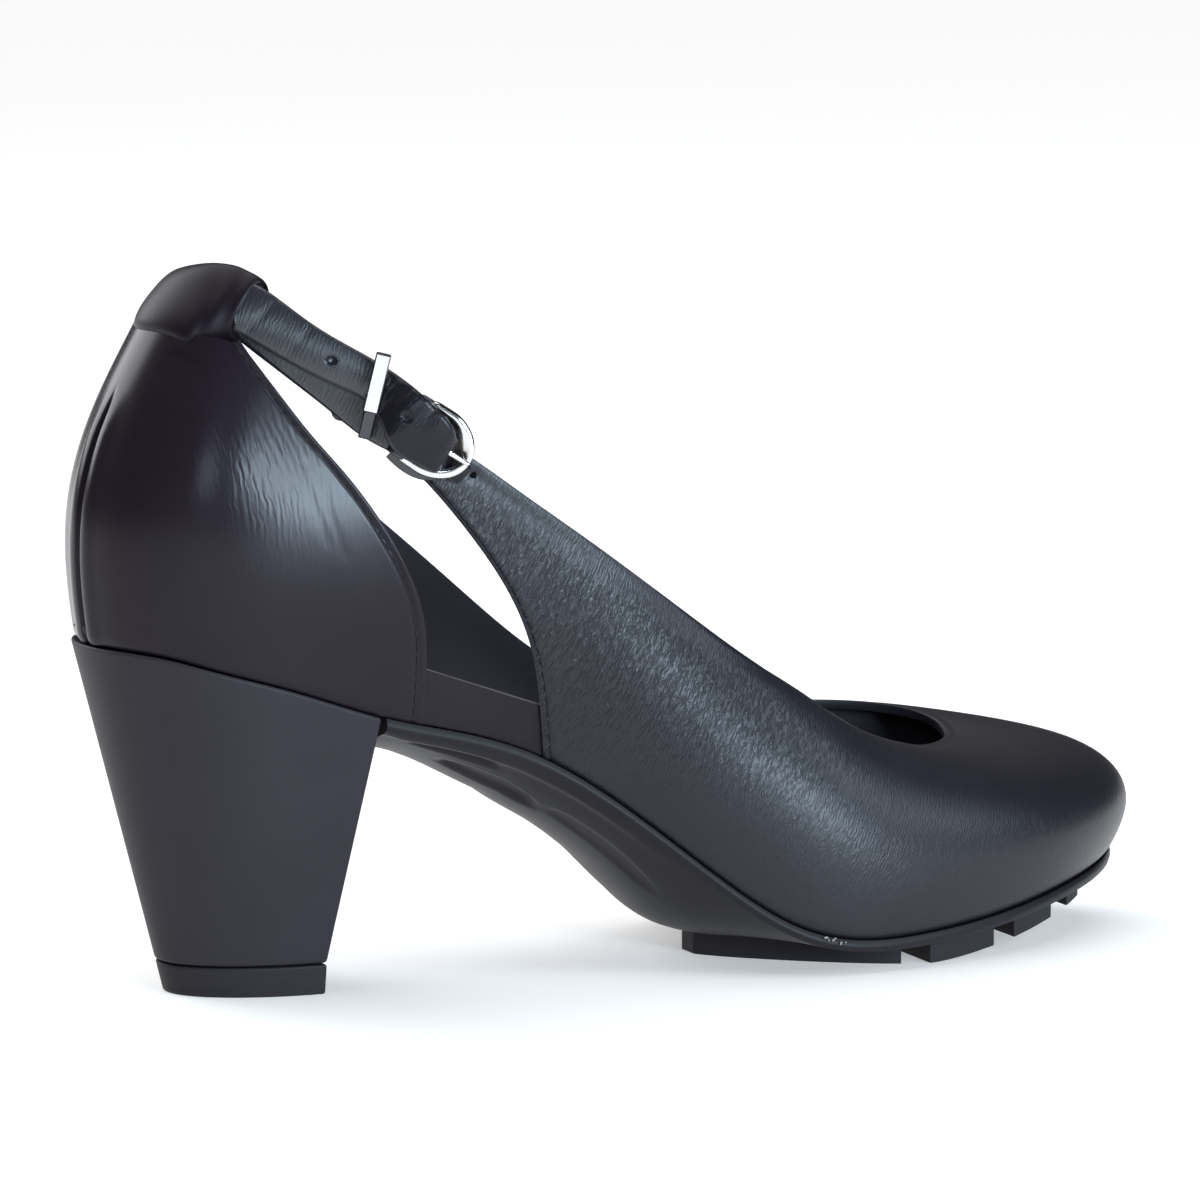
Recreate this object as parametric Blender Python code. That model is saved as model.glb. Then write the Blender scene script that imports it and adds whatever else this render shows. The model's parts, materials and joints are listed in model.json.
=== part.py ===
"""Mid heel shoe for a right foot: a pump with an open outer side and a buckled ankle strap.

Tables and sizes are in millimetres and the meshes in metres. x runs from the back of the heel to
the toe, y to the inner side of the foot and z up from the floor. When a mesh is made, its points
are shifted so that the origin lies on the floor under the middle of the shoe.
"""

import math
from collections import namedtuple

import bmesh
import bpy
import numpy as np
from mathutils import Vector

MM = 0.001
ORIGIN = np.array((113.2, -0.4, 0.0))
GAP = 0.3

WALL = 1.8
INSOLE_THICK = 2.6
INSOLE_INSET = 2.7
INSOLE_START = 0.1
INSOLE_END = 16.8

RIM_THICK = 2.3
RIM_OUT = 0.4
KEEL_ROUND = 2.2
BREAST_STATION = 5.06
TOE_STATION = 16.86
TREAD_INSET = 3.4
TREAD_BACK = 131.0
TREAD_FULL = 152.0
TREAD_FRONT = 210.5
TREAD_SINK = 0.8
TREAD_NARROWEST = 0.1
SPRING_START = 167.0
SPRING_RISE = 7.0
SPRING_POWER = 1.5
GROOVE_WIDTH = 6.0
GROOVES = (163.0, 185.3, 202.6)

HEEL_OUT = 0.8
HEEL_START = 0.06
HEEL_STATIONS = 5.0
TIP_BACK = 16.0
TIP_BREAST = 44.8
TIP_HALF_WIDTH = 15.8
LIFT_THICK = 6.0
LIFT_TAPER = 1.0
LIFT_LEAN = 1.5

STRAP_THICK = 1.5
STRAP_CHAMFER = 0.3
SLEEVE_WALL = 1.0
SLEEVE_HEIGHT = 12.0
SLEEVE_DEPTH = 6.6
SLEEVE_ROUND = 2.6
TUNNEL_ROUND = 0.6
TUNNEL_SIDES = 12
BAR_RADIUS = 0.9
EYE_RADIUS = 2.3
EYE_LENGTH = 8.0
EYE_MARGIN = 1.0
SLOT_WIDTH = 3.2
FRAME_FACE = 1.6
FRAME_DEPTH = 2.6
FRAME_HALF_WIDTH = 6.7
FRAME_CORNER = 1.8
FRAME_STRAIGHT = 4.2
PRONG_WIDTH = 1.5
PRONG_THICK = 1.0
PRONG_HOLE = 2.6
PRONG_HOLE_START = 0.8
PRONG_HOLE_END = 8.5
PRONG_HOLE_REACH = 6.0
PRONG_CURL = 345.0
OCTAGON_FILL = 1.08
KEEPER_AT = (49.7, -28.3, 116.4)
KEEPER_WIDTH = 2.8
KEEPER_WALL = 0.9
KEEPER_HALF_LENGTH = 8.2
KEEPER_HALF_DEPTH = 3.5
KEEPER_TURN = 20.0

BRIDGE_STEP = 0.8
BRIDGE_MARGIN = 4.0
PATCH_START = 5.0
PATCH_END = 8.2
PATCH_TOP = 0.4
OUTSIDE = 60.0
NEAR_MIDDLE = 5.0
SKY = 150.0
UNDERGROUND = -2.0

# How finely the curved faces are divided.
RIB_STEP = 1 / 3
WALL_ROWS = 12
CUT_POINTS = 28
SOLE_ROWS = 48
SOLE_COLUMNS = 11
PAD_ROWS = 30
PAD_COLUMNS = 9
HEEL_ROWS = 26
HEEL_COLUMNS = 9
INSOLE_ROWS = 44
INSOLE_COLUMNS = 7
TUNNEL_ROWS = 23
STRAP_ROWS = 45
TAIL_ROWS = 51

# Sections of the last, heel to toe: height and half widths of the feather line, where upper meets
# sole, how far the wall swells outwards, and its crown (1 a straight wall, 2 a quarter round).
Section = namedtuple("Section", "x seat outer inner bulge crown")
LAST = (
    Section(1.2, 69.2, 0.0, 0.0, 6.7, 1.0),
    Section(3.6, 69.1, 11.0, 11.0, 6.4, 1.0),
    Section(10.7, 68.2, 19.9, 19.9, 5.6, 1.0),
    Section(21.0, 65.2, 25.2, 25.0, 4.2, 1.0),
    Section(35.0, 61.0, 26.5, 26.0, 3.2, 1.0),
    Section(52.0, 55.2, 26.0, 25.0, 2.6, 1.0),
    Section(68.0, 51.2, 25.5, 23.0, 2.2, 1.05),
    Section(84.0, 45.8, 25.6, 21.5, 2.2, 1.1),
    Section(100.0, 36.0, 28.0, 22.0, 2.4, 1.2),
    Section(116.0, 23.2, 32.6, 25.5, 2.8, 1.35),
    Section(132.0, 11.6, 37.0, 31.0, 3.0, 1.55),
    Section(147.0, 7.0, 39.0, 35.6, 3.2, 1.75),
    Section(163.0, 7.0, 37.6, 37.6, 3.4, 1.95),
    Section(180.0, 8.5, 33.2, 36.4, 3.8, 2.4),
    Section(196.0, 10.9, 26.5, 31.8, 4.1, 2.75),
    Section(210.2, 13.0, 16.4, 24.6, 4.2, 3.05),
    Section(219.6, 14.4, 5.4, 15.8, 4.2, 3.3),
    Section(223.4, 15.0, -5.2, 5.2, 4.2, 3.4),
)

# The topline over the same sections, on the outer and on the inner side.
Rim = namedtuple("Rim", "outer_x outer_y outer_z inner_x inner_y inner_z")
TOPLINE = (
    Rim(14.0, 0.0, 129.4, 14.0, 0.0, 129.4),
    Rim(15.4, -8.2, 129.3, 15.4, 8.2, 129.2),
    Rim(18.9, -14.5, 128.7, 18.9, 14.4, 128.2),
    Rim(25.2, -19.4, 127.2, 26.4, 18.6, 123.8),
    Rim(38.0, -24.4, 121.6, 39.5, 21.3, 112.8),
    Rim(53.5, -28.2, 113.5, 54.5, 23.0, 100.6),
    Rim(66.5, -30.6, 106.0, 70.5, 24.2, 87.6),
    Rim(79.0, -31.6, 97.2, 87.0, 25.4, 73.4),
    Rim(93.0, -31.8, 87.3, 103.5, 27.0, 59.4),
    Rim(109.0, -31.3, 75.6, 118.5, 28.6, 50.6),
    Rim(124.5, -30.5, 64.3, 132.5, 29.4, 46.4),
    Rim(138.6, -28.6, 55.0, 147.5, 28.6, 44.7),
    Rim(151.5, -24.6, 46.8, 162.5, 26.6, 44.0),
    Rim(163.5, -18.2, 42.0, 175.0, 23.2, 43.4),
    Rim(173.0, -10.6, 39.5, 183.5, 18.6, 42.4),
    Rim(180.4, -4.0, 38.5, 187.4, 13.6, 41.2),
    Rim(185.2, 0.8, 38.6, 188.2, 9.2, 40.1),
    Rim(187.3, 5.0, 39.2, 187.3, 5.0, 39.2),
)

# Lowest line of the sole from the heel breast to the toe.
Keel = namedtuple("Keel", "x z")
KEEL = (
    Keel(50.0, 47.4),
    Keel(65.0, 43.7),
    Keel(82.0, 35.3),
    Keel(93.0, 28.4),
    Keel(103.0, 20.8),
    Keel(112.0, 12.0),
    Keel(119.0, 6.6),
    Keel(127.0, 4.6),
    Keel(140.0, 4.4),
    Keel(163.0, 4.4),
    Keel(181.0, 6.0),
    Keel(198.0, 8.6),
    Keel(212.0, 10.7),
    Keel(226.0, 12.6),
)

# Edges of the cut-out on the outer side, seen from that side, and the top of the bridge below it.
Corner = namedtuple("Corner", "x z")
COUNTER_EDGE = (
    Corner(20.0, 137.0),
    Corner(25.7, 127.7),
    Corner(36.5, 111.7),
    Corner(45.0, 101.3),
    Corner(54.5, 87.1),
    Corner(59.4, 74.6),
    Corner(60.6, 63.8),
    Corner(60.6, 50.0),
)
VAMP_EDGE = (
    Corner(86.0, 43.0),
    Corner(84.0, 55.4),
    Corner(80.6, 69.2),
    Corner(73.2, 83.6),
    Corner(62.4, 97.6),
    Corner(58.2, 102.2),
)
BRIDGE_TOP = (Corner(60.6, 63.8), Corner(84.0, 55.4))
EAR_TOP = Corner(65.0, 113.2)

# Middle lines of the collar tunnel, of the fixed strap in it, and of the tail that lies on that.
# Lean turns a band's face upwards, in degrees.
Band = namedtuple("Band", "x y z lean width")
TUNNEL = (
    Band(28.5, 15.3, 132.4, 18.0, 9.4),
    Band(22.9, 10.4, 133.6, 32.0, 9.4),
    Band(20.6, 0.0, 133.9, 38.0, 9.4),
    Band(22.9, -10.4, 133.7, 32.0, 9.4),
    Band(28.2, -15.6, 133.2, 18.0, 9.4),
)
FIXED_STRAP = (
    Band(29.0, 14.6, 132.1, 18.0, 9.2),
    Band(23.6, 10.0, 133.1, 32.0, 9.2),
    Band(21.35, 0.0, 133.3, 38.0, 9.2),
    Band(23.6, -10.0, 133.2, 32.0, 9.2),
    Band(28.7, -14.9, 132.8, 18.0, 8.8),
    Band(34.5, -18.4, 128.2, 12.0, 9.8),
    Band(40.4, -21.5, 123.8, 9.0, 10.6),
    Band(46.1, -24.5, 118.2, 7.0, 11.6),
    Band(51.2, -27.6, 114.2, 6.0, 11.0),
    Band(56.6, -31.3, 110.9, 6.0, 7.8),
)
TAIL = (
    Band(26.4, -15.4, 133.6, 18.0, 8.4),
    Band(29.4, -17.2, 132.5, 16.0, 8.8),
    Band(37.0, -21.6, 126.2, 10.0, 9.4),
    Band(44.6, -25.6, 121.5, 8.0, 9.4),
    Band(50.0, -29.0, 118.3, 6.0, 9.2),
)

# The tail's way through the buckle: along the frame from its bar, across it and off the foot.
Pull = namedtuple("Pull", "along across off width")
TAIL_THROUGH = (
    Pull(-3.8, 0.8, 3.5, 8.4),
    Pull(0.0, 0.3, 3.8, 8.4),
    Pull(3.8, 0.0, 1.6, 8.4),
    Pull(7.2, 0.0, -2.0, 8.2),
    Pull(11.0, -0.5, -2.6, 7.4),
    Pull(14.4, -1.0, -2.7, 6.4),
)
FRAME_BAR = np.array((56.6, -31.3, 110.9))
FRAME_APEX = np.array((65.6, -35.2, 104.4))

Finish = namedtuple("Finish", "colour roughness metallic")
UPPER_LEATHER = Finish((0.045, 0.046, 0.055), 0.42, 0.0)
HEEL_LEATHER = Finish((0.038, 0.037, 0.043), 0.55, 0.0)
STRAP_LEATHER = Finish((0.040, 0.041, 0.050), 0.45, 0.0)
SOLE_RUBBER = Finish((0.030, 0.028, 0.032), 0.50, 0.0)
INSOLE_FACE = Finish((0.026, 0.024, 0.029), 0.70, 0.0)
NICKEL = Finish((0.78, 0.77, 0.76), 0.18, 1.0)


def closed_spline(rows, at):
    """Cubic through rows one step apart that closes on itself, read at the positions `at`."""
    count = len(rows)
    same = np.eye(count)
    system = 4 * same + np.roll(same, 1, 0) + np.roll(same, -1, 0)
    bend = np.linalg.solve(system, 6 * (np.roll(rows, -1, 0) - 2 * rows + np.roll(rows, 1, 0)))
    start = np.floor(at).astype(int)
    t = (at - start)[:, None]
    a, b = start % count, (start + 1) % count
    s = 1 - t
    return s * rows[a] + t * rows[b] + ((s**3 - s) * bend[a] + (t**3 - t) * bend[b]) / 6


def open_spline(rows, at):
    """Cubic through rows one step apart with free ends, read at the positions `at`."""
    rows = np.asarray(rows, float)
    count = len(rows)
    system = 4 * np.eye(count) + np.eye(count, k=1) + np.eye(count, k=-1)
    force = np.zeros_like(rows)
    force[1:-1] = 6 * (rows[2:] - 2 * rows[1:-1] + rows[:-2])
    system[0, :2] = (1, 0)
    system[-1, -2:] = (0, 1)
    bend = np.linalg.solve(system, force)
    a = np.clip(np.floor(at).astype(int), 0, count - 2)
    t = (at - a)[:, None]
    s = 1 - t
    return s * rows[a] + t * rows[a + 1] + ((s**3 - s) * bend[a] + (t**3 - t) * bend[a + 1]) / 6


def smooth_line(rows, count):
    """`count` rows along the smooth curve through a table's rows."""
    return open_spline(rows, np.linspace(0, len(rows) - 1, count))


def unit(vectors):
    """Vectors made one long."""
    return vectors / np.linalg.norm(vectors, axis=-1, keepdims=True)


def rib_table():
    """Feather point, topline point, bulge and crown of each rib, once round the shoe."""
    outer = []
    inner = []
    for s, r in zip(LAST, TOPLINE):
        shape = (s.bulge, s.crown)
        outer.append((s.x, -s.outer, s.seat, r.outer_x, r.outer_y, r.outer_z) + shape)
        inner.append((s.x, s.inner, s.seat, r.inner_x, r.inner_y, r.inner_z) + shape)
    return np.array(outer + inner[-2:0:-1])


RIBS = rib_table()
RIB_COUNT = len(RIBS)


def outward(around):
    """Level direction away from the shoe at positions round the feather line."""
    step = 0.02
    run = closed_spline(RIBS, around + step)[:, :2] - closed_spline(RIBS, around - step)[:, :2]
    return unit(np.stack((run[:, 1], -run[:, 0], np.zeros(len(run))), 1))


def wall(around, up):
    """Grid on the upper's outer face, from the feather line (up 0) to the topline (up 1)."""
    rib = closed_spline(RIBS, around)[:, None, :]
    foot, top, bulge, crown = rib[..., :3], rib[..., 3:6], rib[..., 6:7], rib[..., 7:8]
    angle = (np.asarray(up) * math.pi / 2)[None, :, None]
    rise = np.sin(angle) ** (2 / crown)
    lean = 1 - np.maximum(np.cos(angle), 0) ** (2 / crown)
    across = (top - foot) * (1, 1, 0)
    climb = (top - foot) * (0, 0, 1)
    swell = bulge * np.sin(math.pi * rise)
    return foot + across * lean + climb * rise + outward(around)[:, None, :] * swell


def feather(stations, out, side):
    """Points of the feather line moved outwards, on the outer (-1) or the inner (1) side."""
    around = stations if side < 0 else RIB_COUNT - stations
    return closed_spline(RIBS, around)[:, :3] + outward(around) * out


def feather_rungs(stations, out, across):
    """Grid of points across the foot between the two sides of the feather line."""
    t = np.linspace(0, 1, across)[None, :, None]
    return feather(stations, out, -1)[:, None] * (1 - t) + feather(stations, out, 1)[:, None] * t


def raised(grid, height):
    """The grid moved up by a height, or by a height for each of its points."""
    moved = grid.copy()
    moved[..., 2] += height
    return moved


def keel_height(x):
    """Height of the sole's lowest line."""
    knots = [k.x for k in KEEL]
    return open_spline([(k.z,) for k in KEEL], np.interp(x, knots, range(len(KEEL))))[:, 0]


def material(name, finish):
    """Plain surface of one piece."""
    surface = bpy.data.materials.new(name)
    surface.use_nodes = True
    shader = surface.node_tree.nodes["Principled BSDF"]
    shader.inputs["Base Color"].default_value = (*finish.colour, 1)
    shader.inputs["Roughness"].default_value = finish.roughness
    shader.inputs["Metallic"].default_value = finish.metallic
    return surface


def add_object(name, shape, finish=None):
    """Object from a bmesh in millimetres; one without a finish is a cutter."""
    bmesh.ops.recalc_face_normals(shape, faces=shape.faces)
    for vertex in shape.verts:
        vertex.co = Vector((np.array(vertex.co) - ORIGIN) * MM)
    mesh = bpy.data.meshes.new(name)
    shape.to_mesh(mesh)
    shape.free()
    piece = bpy.data.objects.new(name, mesh)
    bpy.context.collection.objects.link(piece)
    if finish:
        mesh.materials.append(material(name, finish))
        mesh.shade_smooth()
        mesh.set_sharp_from_angle(angle=math.radians(35))
    else:
        piece.hide_render = True
        piece.display_type = "WIRE"
    return piece


def boolean(piece, cutter, operation):
    """Cut or join one object with another."""
    modifier = piece.modifiers.new(cutter.name, "BOOLEAN")
    modifier.operation = operation
    modifier.solver = "EXACT"
    modifier.object = cutter


def grid_vertices(shape, grid):
    """Vertices of a grid of points, in rows."""
    return [[shape.verts.new(p) for p in row] for row in grid]


def skin(shape, rows, close_rows=False, close_columns=False):
    """Quads over rows of vertices, joined round either way if asked."""
    row_count = len(rows) if close_rows else len(rows) - 1
    column_count = len(rows[0]) if close_columns else len(rows[0]) - 1
    for i in range(row_count):
        here, there = rows[i], rows[(i + 1) % len(rows)]
        for j in range(column_count):
            k = (j + 1) % len(here)
            shape.faces.new((here[j], here[k], there[k], there[j]))


def slab(name, top, bottom, finish=None):
    """Closed solid between two grids of points with the same rows and columns."""
    shape = bmesh.new()
    upper = grid_vertices(shape, top)
    lower = grid_vertices(shape, bottom)
    skin(shape, upper)
    skin(shape, lower)
    for end in (0, -1):
        skin(shape, (upper[end], lower[end]))
        skin(shape, ([row[end] for row in upper], [row[end] for row in lower]))
    return add_object(name, shape, finish)


def prism(name, outline, low, high):
    """Cutter with an outline seen from the side, between two depths."""
    shape = bmesh.new()
    rings = [[shape.verts.new((x, y, z)) for x, z in outline] for y in (low, high)]
    skin(shape, rings, close_columns=True)
    for ring in rings:
        shape.faces.new(ring)
    return add_object(name, shape)


def swept(name, loops, finish=None, closed=False):
    """Solid whose cross sections are the loops, capped at its ends or closed into a ring."""
    shape = bmesh.new()
    rows = grid_vertices(shape, loops)
    skin(shape, rows, close_rows=closed, close_columns=True)
    if not closed:
        shape.faces.new(rows[0])
        shape.faces.new(rows[-1])
    return add_object(name, shape, finish)


def band_rows(table):
    """Point, direction across the band, up the leg, and width for each row of a band's table."""
    points = np.array([row[:3] for row in table])
    along = unit(np.gradient(points, axis=0))
    level = unit(np.stack((along[:, 1], -along[:, 0], np.zeros(len(table))), 1))
    lean = np.radians([[row.lean] for row in table])
    across = np.cross(level, along) * np.cos(lean) - level * np.sin(lean)
    return np.column_stack((points, across, [row.width for row in table]))


def band_frames(rows, count):
    """Points, directions across a band and off the foot, and width, along its smooth line."""
    line = smooth_line(rows, count)
    points, across = line[:, :3], line[:, 3:6]
    along = unit(np.gradient(points, axis=0))
    across = unit(across - along * (across * along).sum(1, keepdims=True))
    return points, across, np.cross(along, across), line[:, 6:]


def band_loops(rows, count):
    """Flat cross sections of a strap, with its edges chamfered."""
    points, across, off, width = band_frames(rows, count)
    half, deep = width / 2, STRAP_THICK / 2
    loops = []
    for quarter in range(4):
        side = (1, 1, -1, -1)[quarter]
        face = (-1, 1, 1, -1)[quarter]
        for on_face in ((1, 0), (0, 1))[quarter % 2]:
            w = side * (half - STRAP_CHAMFER * on_face)
            n = face * (deep - STRAP_CHAMFER * (1 - on_face))
            loops.append(points + across * w + off * n)
    return np.stack(loops, 1)


def make_upper():
    """Hollow leather upper with the cut-out on its outer side and the set-back bridge under it."""
    around = np.arange(0, RIB_COUNT, RIB_STEP)
    up = np.linspace(0, 1, WALL_ROWS)
    shape = bmesh.new()
    skin(shape, grid_vertices(shape, wall(around, up)), close_rows=True)
    upper = add_object("upper", shape, UPPER_LEATHER)
    solidify = upper.modifiers.new("wall", "SOLIDIFY")
    solidify.thickness = WALL * MM
    solidify.offset = -1
    solidify.use_even_offset = True
    counter = smooth_line(COUNTER_EDGE, CUT_POINTS)
    vamp = smooth_line(VAMP_EDGE, CUT_POINTS)
    left, right = BRIDGE_TOP
    above_bridge = counter[counter[:, 1] > left.z + GAP]
    above_vamp = vamp[vamp[:, 1] > right.z + GAP]
    sky = ((EAR_TOP.x + BRIDGE_MARGIN, SKY), (COUNTER_EDGE[0].x - BRIDGE_MARGIN, SKY))
    outline = [*above_bridge, left, right, *above_vamp, EAR_TOP, *sky]
    boolean(upper, prism("cutout", outline, -OUTSIDE, -NEAR_MIDDLE), "DIFFERENCE")

    along = np.linspace(PATCH_START, PATCH_END, CUT_POINTS // 2)
    patch = wall(along, np.linspace(0, PATCH_TOP, WALL_ROWS // 2))
    patch[:, 0, 2] -= BRIDGE_MARGIN
    away = outward(along)[:, None, :]
    bridge_skin = slab("bridge_skin", patch + away * BRIDGE_MARGIN, patch - away * BRIDGE_STEP)
    below_vamp = vamp[vamp[:, 1] <= right.z + BRIDGE_MARGIN]
    zone = [(left.x, left.z + BRIDGE_MARGIN), (left.x, below_vamp[0][1]), *below_vamp]
    boolean(bridge_skin, prism("bridge_zone", zone, -OUTSIDE, -NEAR_MIDDLE), "INTERSECT")
    boolean(upper, bridge_skin, "DIFFERENCE")


def sole_bottom(grid):
    """Heights of the sole's underside below the points of a grid across the foot."""
    edge = grid[:, :1, 2] - GAP - RIM_THICK
    low = np.minimum(keel_height(grid[:, 0, 0])[:, None], edge)
    t = np.abs(np.linspace(-1, 1, grid.shape[1]))[None, :]
    return edge - (edge - low) * (1 - t**KEEL_ROUND)


def make_outsole():
    """Sole from heel breast to toe: arch keel, thin rim and the grooved forefoot pad."""
    stations = np.linspace(BREAST_STATION, TOE_STATION, SOLE_ROWS)
    grid = feather_rungs(stations, RIM_OUT, SOLE_COLUMNS)
    under = grid.copy()
    under[..., 2] = sole_bottom(grid)
    sole = slab("outsole", raised(grid, -GAP), under, SOLE_RUBBER)

    pad_x = np.linspace(TREAD_BACK + GAP, TREAD_FRONT, PAD_ROWS)
    row_x = [s.x for s in LAST]
    pad_stations = np.interp(pad_x, row_x, range(len(LAST)))
    pad_grid = feather_rungs(pad_stations, -TREAD_INSET, PAD_COLUMNS)
    back = np.clip((TREAD_FULL - pad_grid[:, 0, 0]) / (TREAD_FULL - TREAD_BACK), 0, 1)
    middle = pad_grid.mean(axis=1, keepdims=True)
    narrowed = np.maximum(np.sqrt(1 - back**2), TREAD_NARROWEST)[:, None, None]
    pad_grid = middle + (pad_grid - middle) * narrowed
    top = pad_grid.copy()
    top[..., 2] = np.maximum(keel_height(pad_grid[:, 0, 0])[:, None], 0) + TREAD_SINK
    bottom = pad_grid.copy()
    ahead = np.maximum(pad_grid[..., 0] - SPRING_START, 0) / (TREAD_FRONT - SPRING_START)
    bottom[..., 2] = SPRING_RISE * ahead**SPRING_POWER
    pad = slab("tread_pad", top, bottom)
    for i, x in enumerate(GROOVES):
        near, far = x - GROOVE_WIDTH / 2, x + GROOVE_WIDTH / 2
        outline = ((near, UNDERGROUND), (far, UNDERGROUND), (far, SKY), (near, SKY))
        boolean(pad, prism(f"groove_{i + 1}", outline, -OUTSIDE, OUTSIDE), "DIFFERENCE")
    boolean(sole, pad, "UNION")
    return sole


def tip_rungs(height, stations, across):
    """Grid across the heel's D-shaped tip; it narrows by the lift's taper towards the floor."""
    shrink = LIFT_TAPER * (1 - height / LIFT_THICK)
    angle = stations / HEEL_STATIONS * math.pi / 2
    length = TIP_BREAST - TIP_BACK - LIFT_LEAN * shrink
    x = TIP_BREAST - length * np.cos(angle)
    y = (TIP_HALF_WIDTH - shrink) * np.sin(angle)
    side = np.linspace(-1, 1, across)
    return np.stack(np.broadcast_arrays(x[:, None], y[:, None] * side, height), -1).astype(float)


def make_heel():
    """Block heel from the seat to the top of the lift, and the rubber lift under it."""
    stations = np.linspace(HEEL_START, HEEL_STATIONS, HEEL_ROWS)
    seat = raised(feather_rungs(stations, HEEL_OUT, HEEL_COLUMNS), -GAP)
    tip = tip_rungs(LIFT_THICK + GAP, stations, HEEL_COLUMNS)
    slab("heel_block", seat, tip, HEEL_LEATHER)
    lift_top = tip_rungs(LIFT_THICK, stations, HEEL_COLUMNS)
    lift_bottom = tip_rungs(0.0, stations, HEEL_COLUMNS)
    slab("heel_top_piece", lift_top, lift_bottom, SOLE_RUBBER)


def make_insole():
    """Insole inside the wall, on the sole and the heel."""
    stations = np.linspace(INSOLE_START, INSOLE_END, INSOLE_ROWS)
    grid = feather_rungs(stations, -INSOLE_INSET, INSOLE_COLUMNS)
    slab("insole", raised(grid, INSOLE_THICK), grid, INSOLE_FACE)


def make_collar_loop():
    """Leather tunnel round the top of the back, open at both ends."""
    points, across, off, _ = band_frames(band_rows(TUNNEL), TUNNEL_ROWS)

    def ring(height, depth, radius):
        loop = []
        for i in range(TUNNEL_SIDES):
            angle = (i + 0.5) * 2 * math.pi / TUNNEL_SIDES
            w = math.cos(angle) * radius + math.copysign(height / 2 - radius, math.cos(angle))
            n = math.sin(angle) * radius + math.copysign(depth / 2 - radius, math.sin(angle))
            loop.append(points + across * w + off * n)
        return np.stack(loop, 1)

    shape = bmesh.new()
    outside = grid_vertices(shape, ring(SLEEVE_HEIGHT, SLEEVE_DEPTH, SLEEVE_ROUND))
    inside_height = SLEEVE_HEIGHT - 2 * SLEEVE_WALL
    inside_depth = SLEEVE_DEPTH - 2 * SLEEVE_WALL
    inside = grid_vertices(shape, ring(inside_height, inside_depth, TUNNEL_ROUND))
    skin(shape, outside, close_columns=True)
    skin(shape, inside, close_columns=True)
    skin(shape, (outside[0], inside[0]), close_columns=True)
    skin(shape, (outside[-1], inside[-1]), close_columns=True)
    return add_object("collar_loop", shape, UPPER_LEATHER)


def buckle_axes():
    """Directions along the frame to its round end, across it and off the foot."""
    along = unit(FRAME_APEX - FRAME_BAR)
    level = unit(np.array((along[1], -along[0], 0.0)))
    across = unit(np.cross(level, along))
    return np.stack((along, across, np.cross(along, across)))


def placed(points):
    """Points given along, across and off the buckle's frame, from the middle of its bar."""
    return FRAME_BAR + np.asarray(points, float) @ buckle_axes()


def rod(name, radius, length):
    """Cutter or blank: a round rod about the buckle's bar."""
    loops = []
    for end in (-length / 2, length / 2):
        angles = np.arange(20) * math.pi / 10
        loops.append(placed([(radius * math.cos(a), end, radius * math.sin(a)) for a in angles]))
    return swept(name, loops)


def block(name, low, high):
    """Cutter: a box given along, across and off the buckle's frame."""
    corners = ((low[1], low[2]), (high[1], low[2]), (high[1], high[2]), (low[1], high[2]))
    return swept(name, [placed([(end, w, n) for w, n in corners]) for end in (low[0], high[0])])


def make_straps():
    """Fixed strap turned round the buckle's bar, and the tail that comes through the frame over it."""
    fixed = swept("ankle_strap", band_loops(band_rows(FIXED_STRAP), STRAP_ROWS), STRAP_LEATHER)
    slot = np.array((EYE_RADIUS + EYE_MARGIN, SLOT_WIDTH / 2, EYE_RADIUS + EYE_MARGIN))
    boolean(fixed, rod("eye", EYE_RADIUS, EYE_LENGTH), "UNION")
    boolean(fixed, rod("eye_bore", BAR_RADIUS + GAP, 2 * EYE_LENGTH), "DIFFERENCE")
    boolean(fixed, block("eye_slot", -slot, slot), "DIFFERENCE")
    across = buckle_axes()[1]
    through = [(*placed(pull[:3]), *across, pull.width) for pull in TAIL_THROUGH]
    rows = np.vstack((band_rows(TAIL), through))
    tail = swept("strap_tail", band_loops(rows, TAIL_ROWS), STRAP_LEATHER)
    low = (PRONG_HOLE_START, -PRONG_HOLE / 2, -PRONG_HOLE_REACH)
    high = (PRONG_HOLE_END, PRONG_HOLE / 2, PRONG_HOLE_REACH)
    boolean(tail, block("prong_hole", low, high), "DIFFERENCE")


def frame_path():
    """Middle line of the buckle's frame: bar, round corners, sides and round end, as (along, across)."""
    half = FRAME_HALF_WIDTH - FRAME_FACE / 2
    reach = np.linalg.norm(FRAME_APEX - FRAME_BAR)
    r = FRAME_CORNER
    path = []
    for i in range(5):
        a = math.pi * (1 + i / 8)
        path.append((r + r * math.cos(a), -half + r + r * math.sin(a)))
    for i in range(17):
        a = math.pi * (i / 16 - 0.5)
        path.append((FRAME_STRAIGHT + (reach - FRAME_STRAIGHT) * math.cos(a), half * math.sin(a)))
    for i in range(5):
        a = math.pi * (0.5 + i / 8)
        path.append((r + r * math.cos(a), half - r + r * math.sin(a)))
    return np.array(path)


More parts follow.
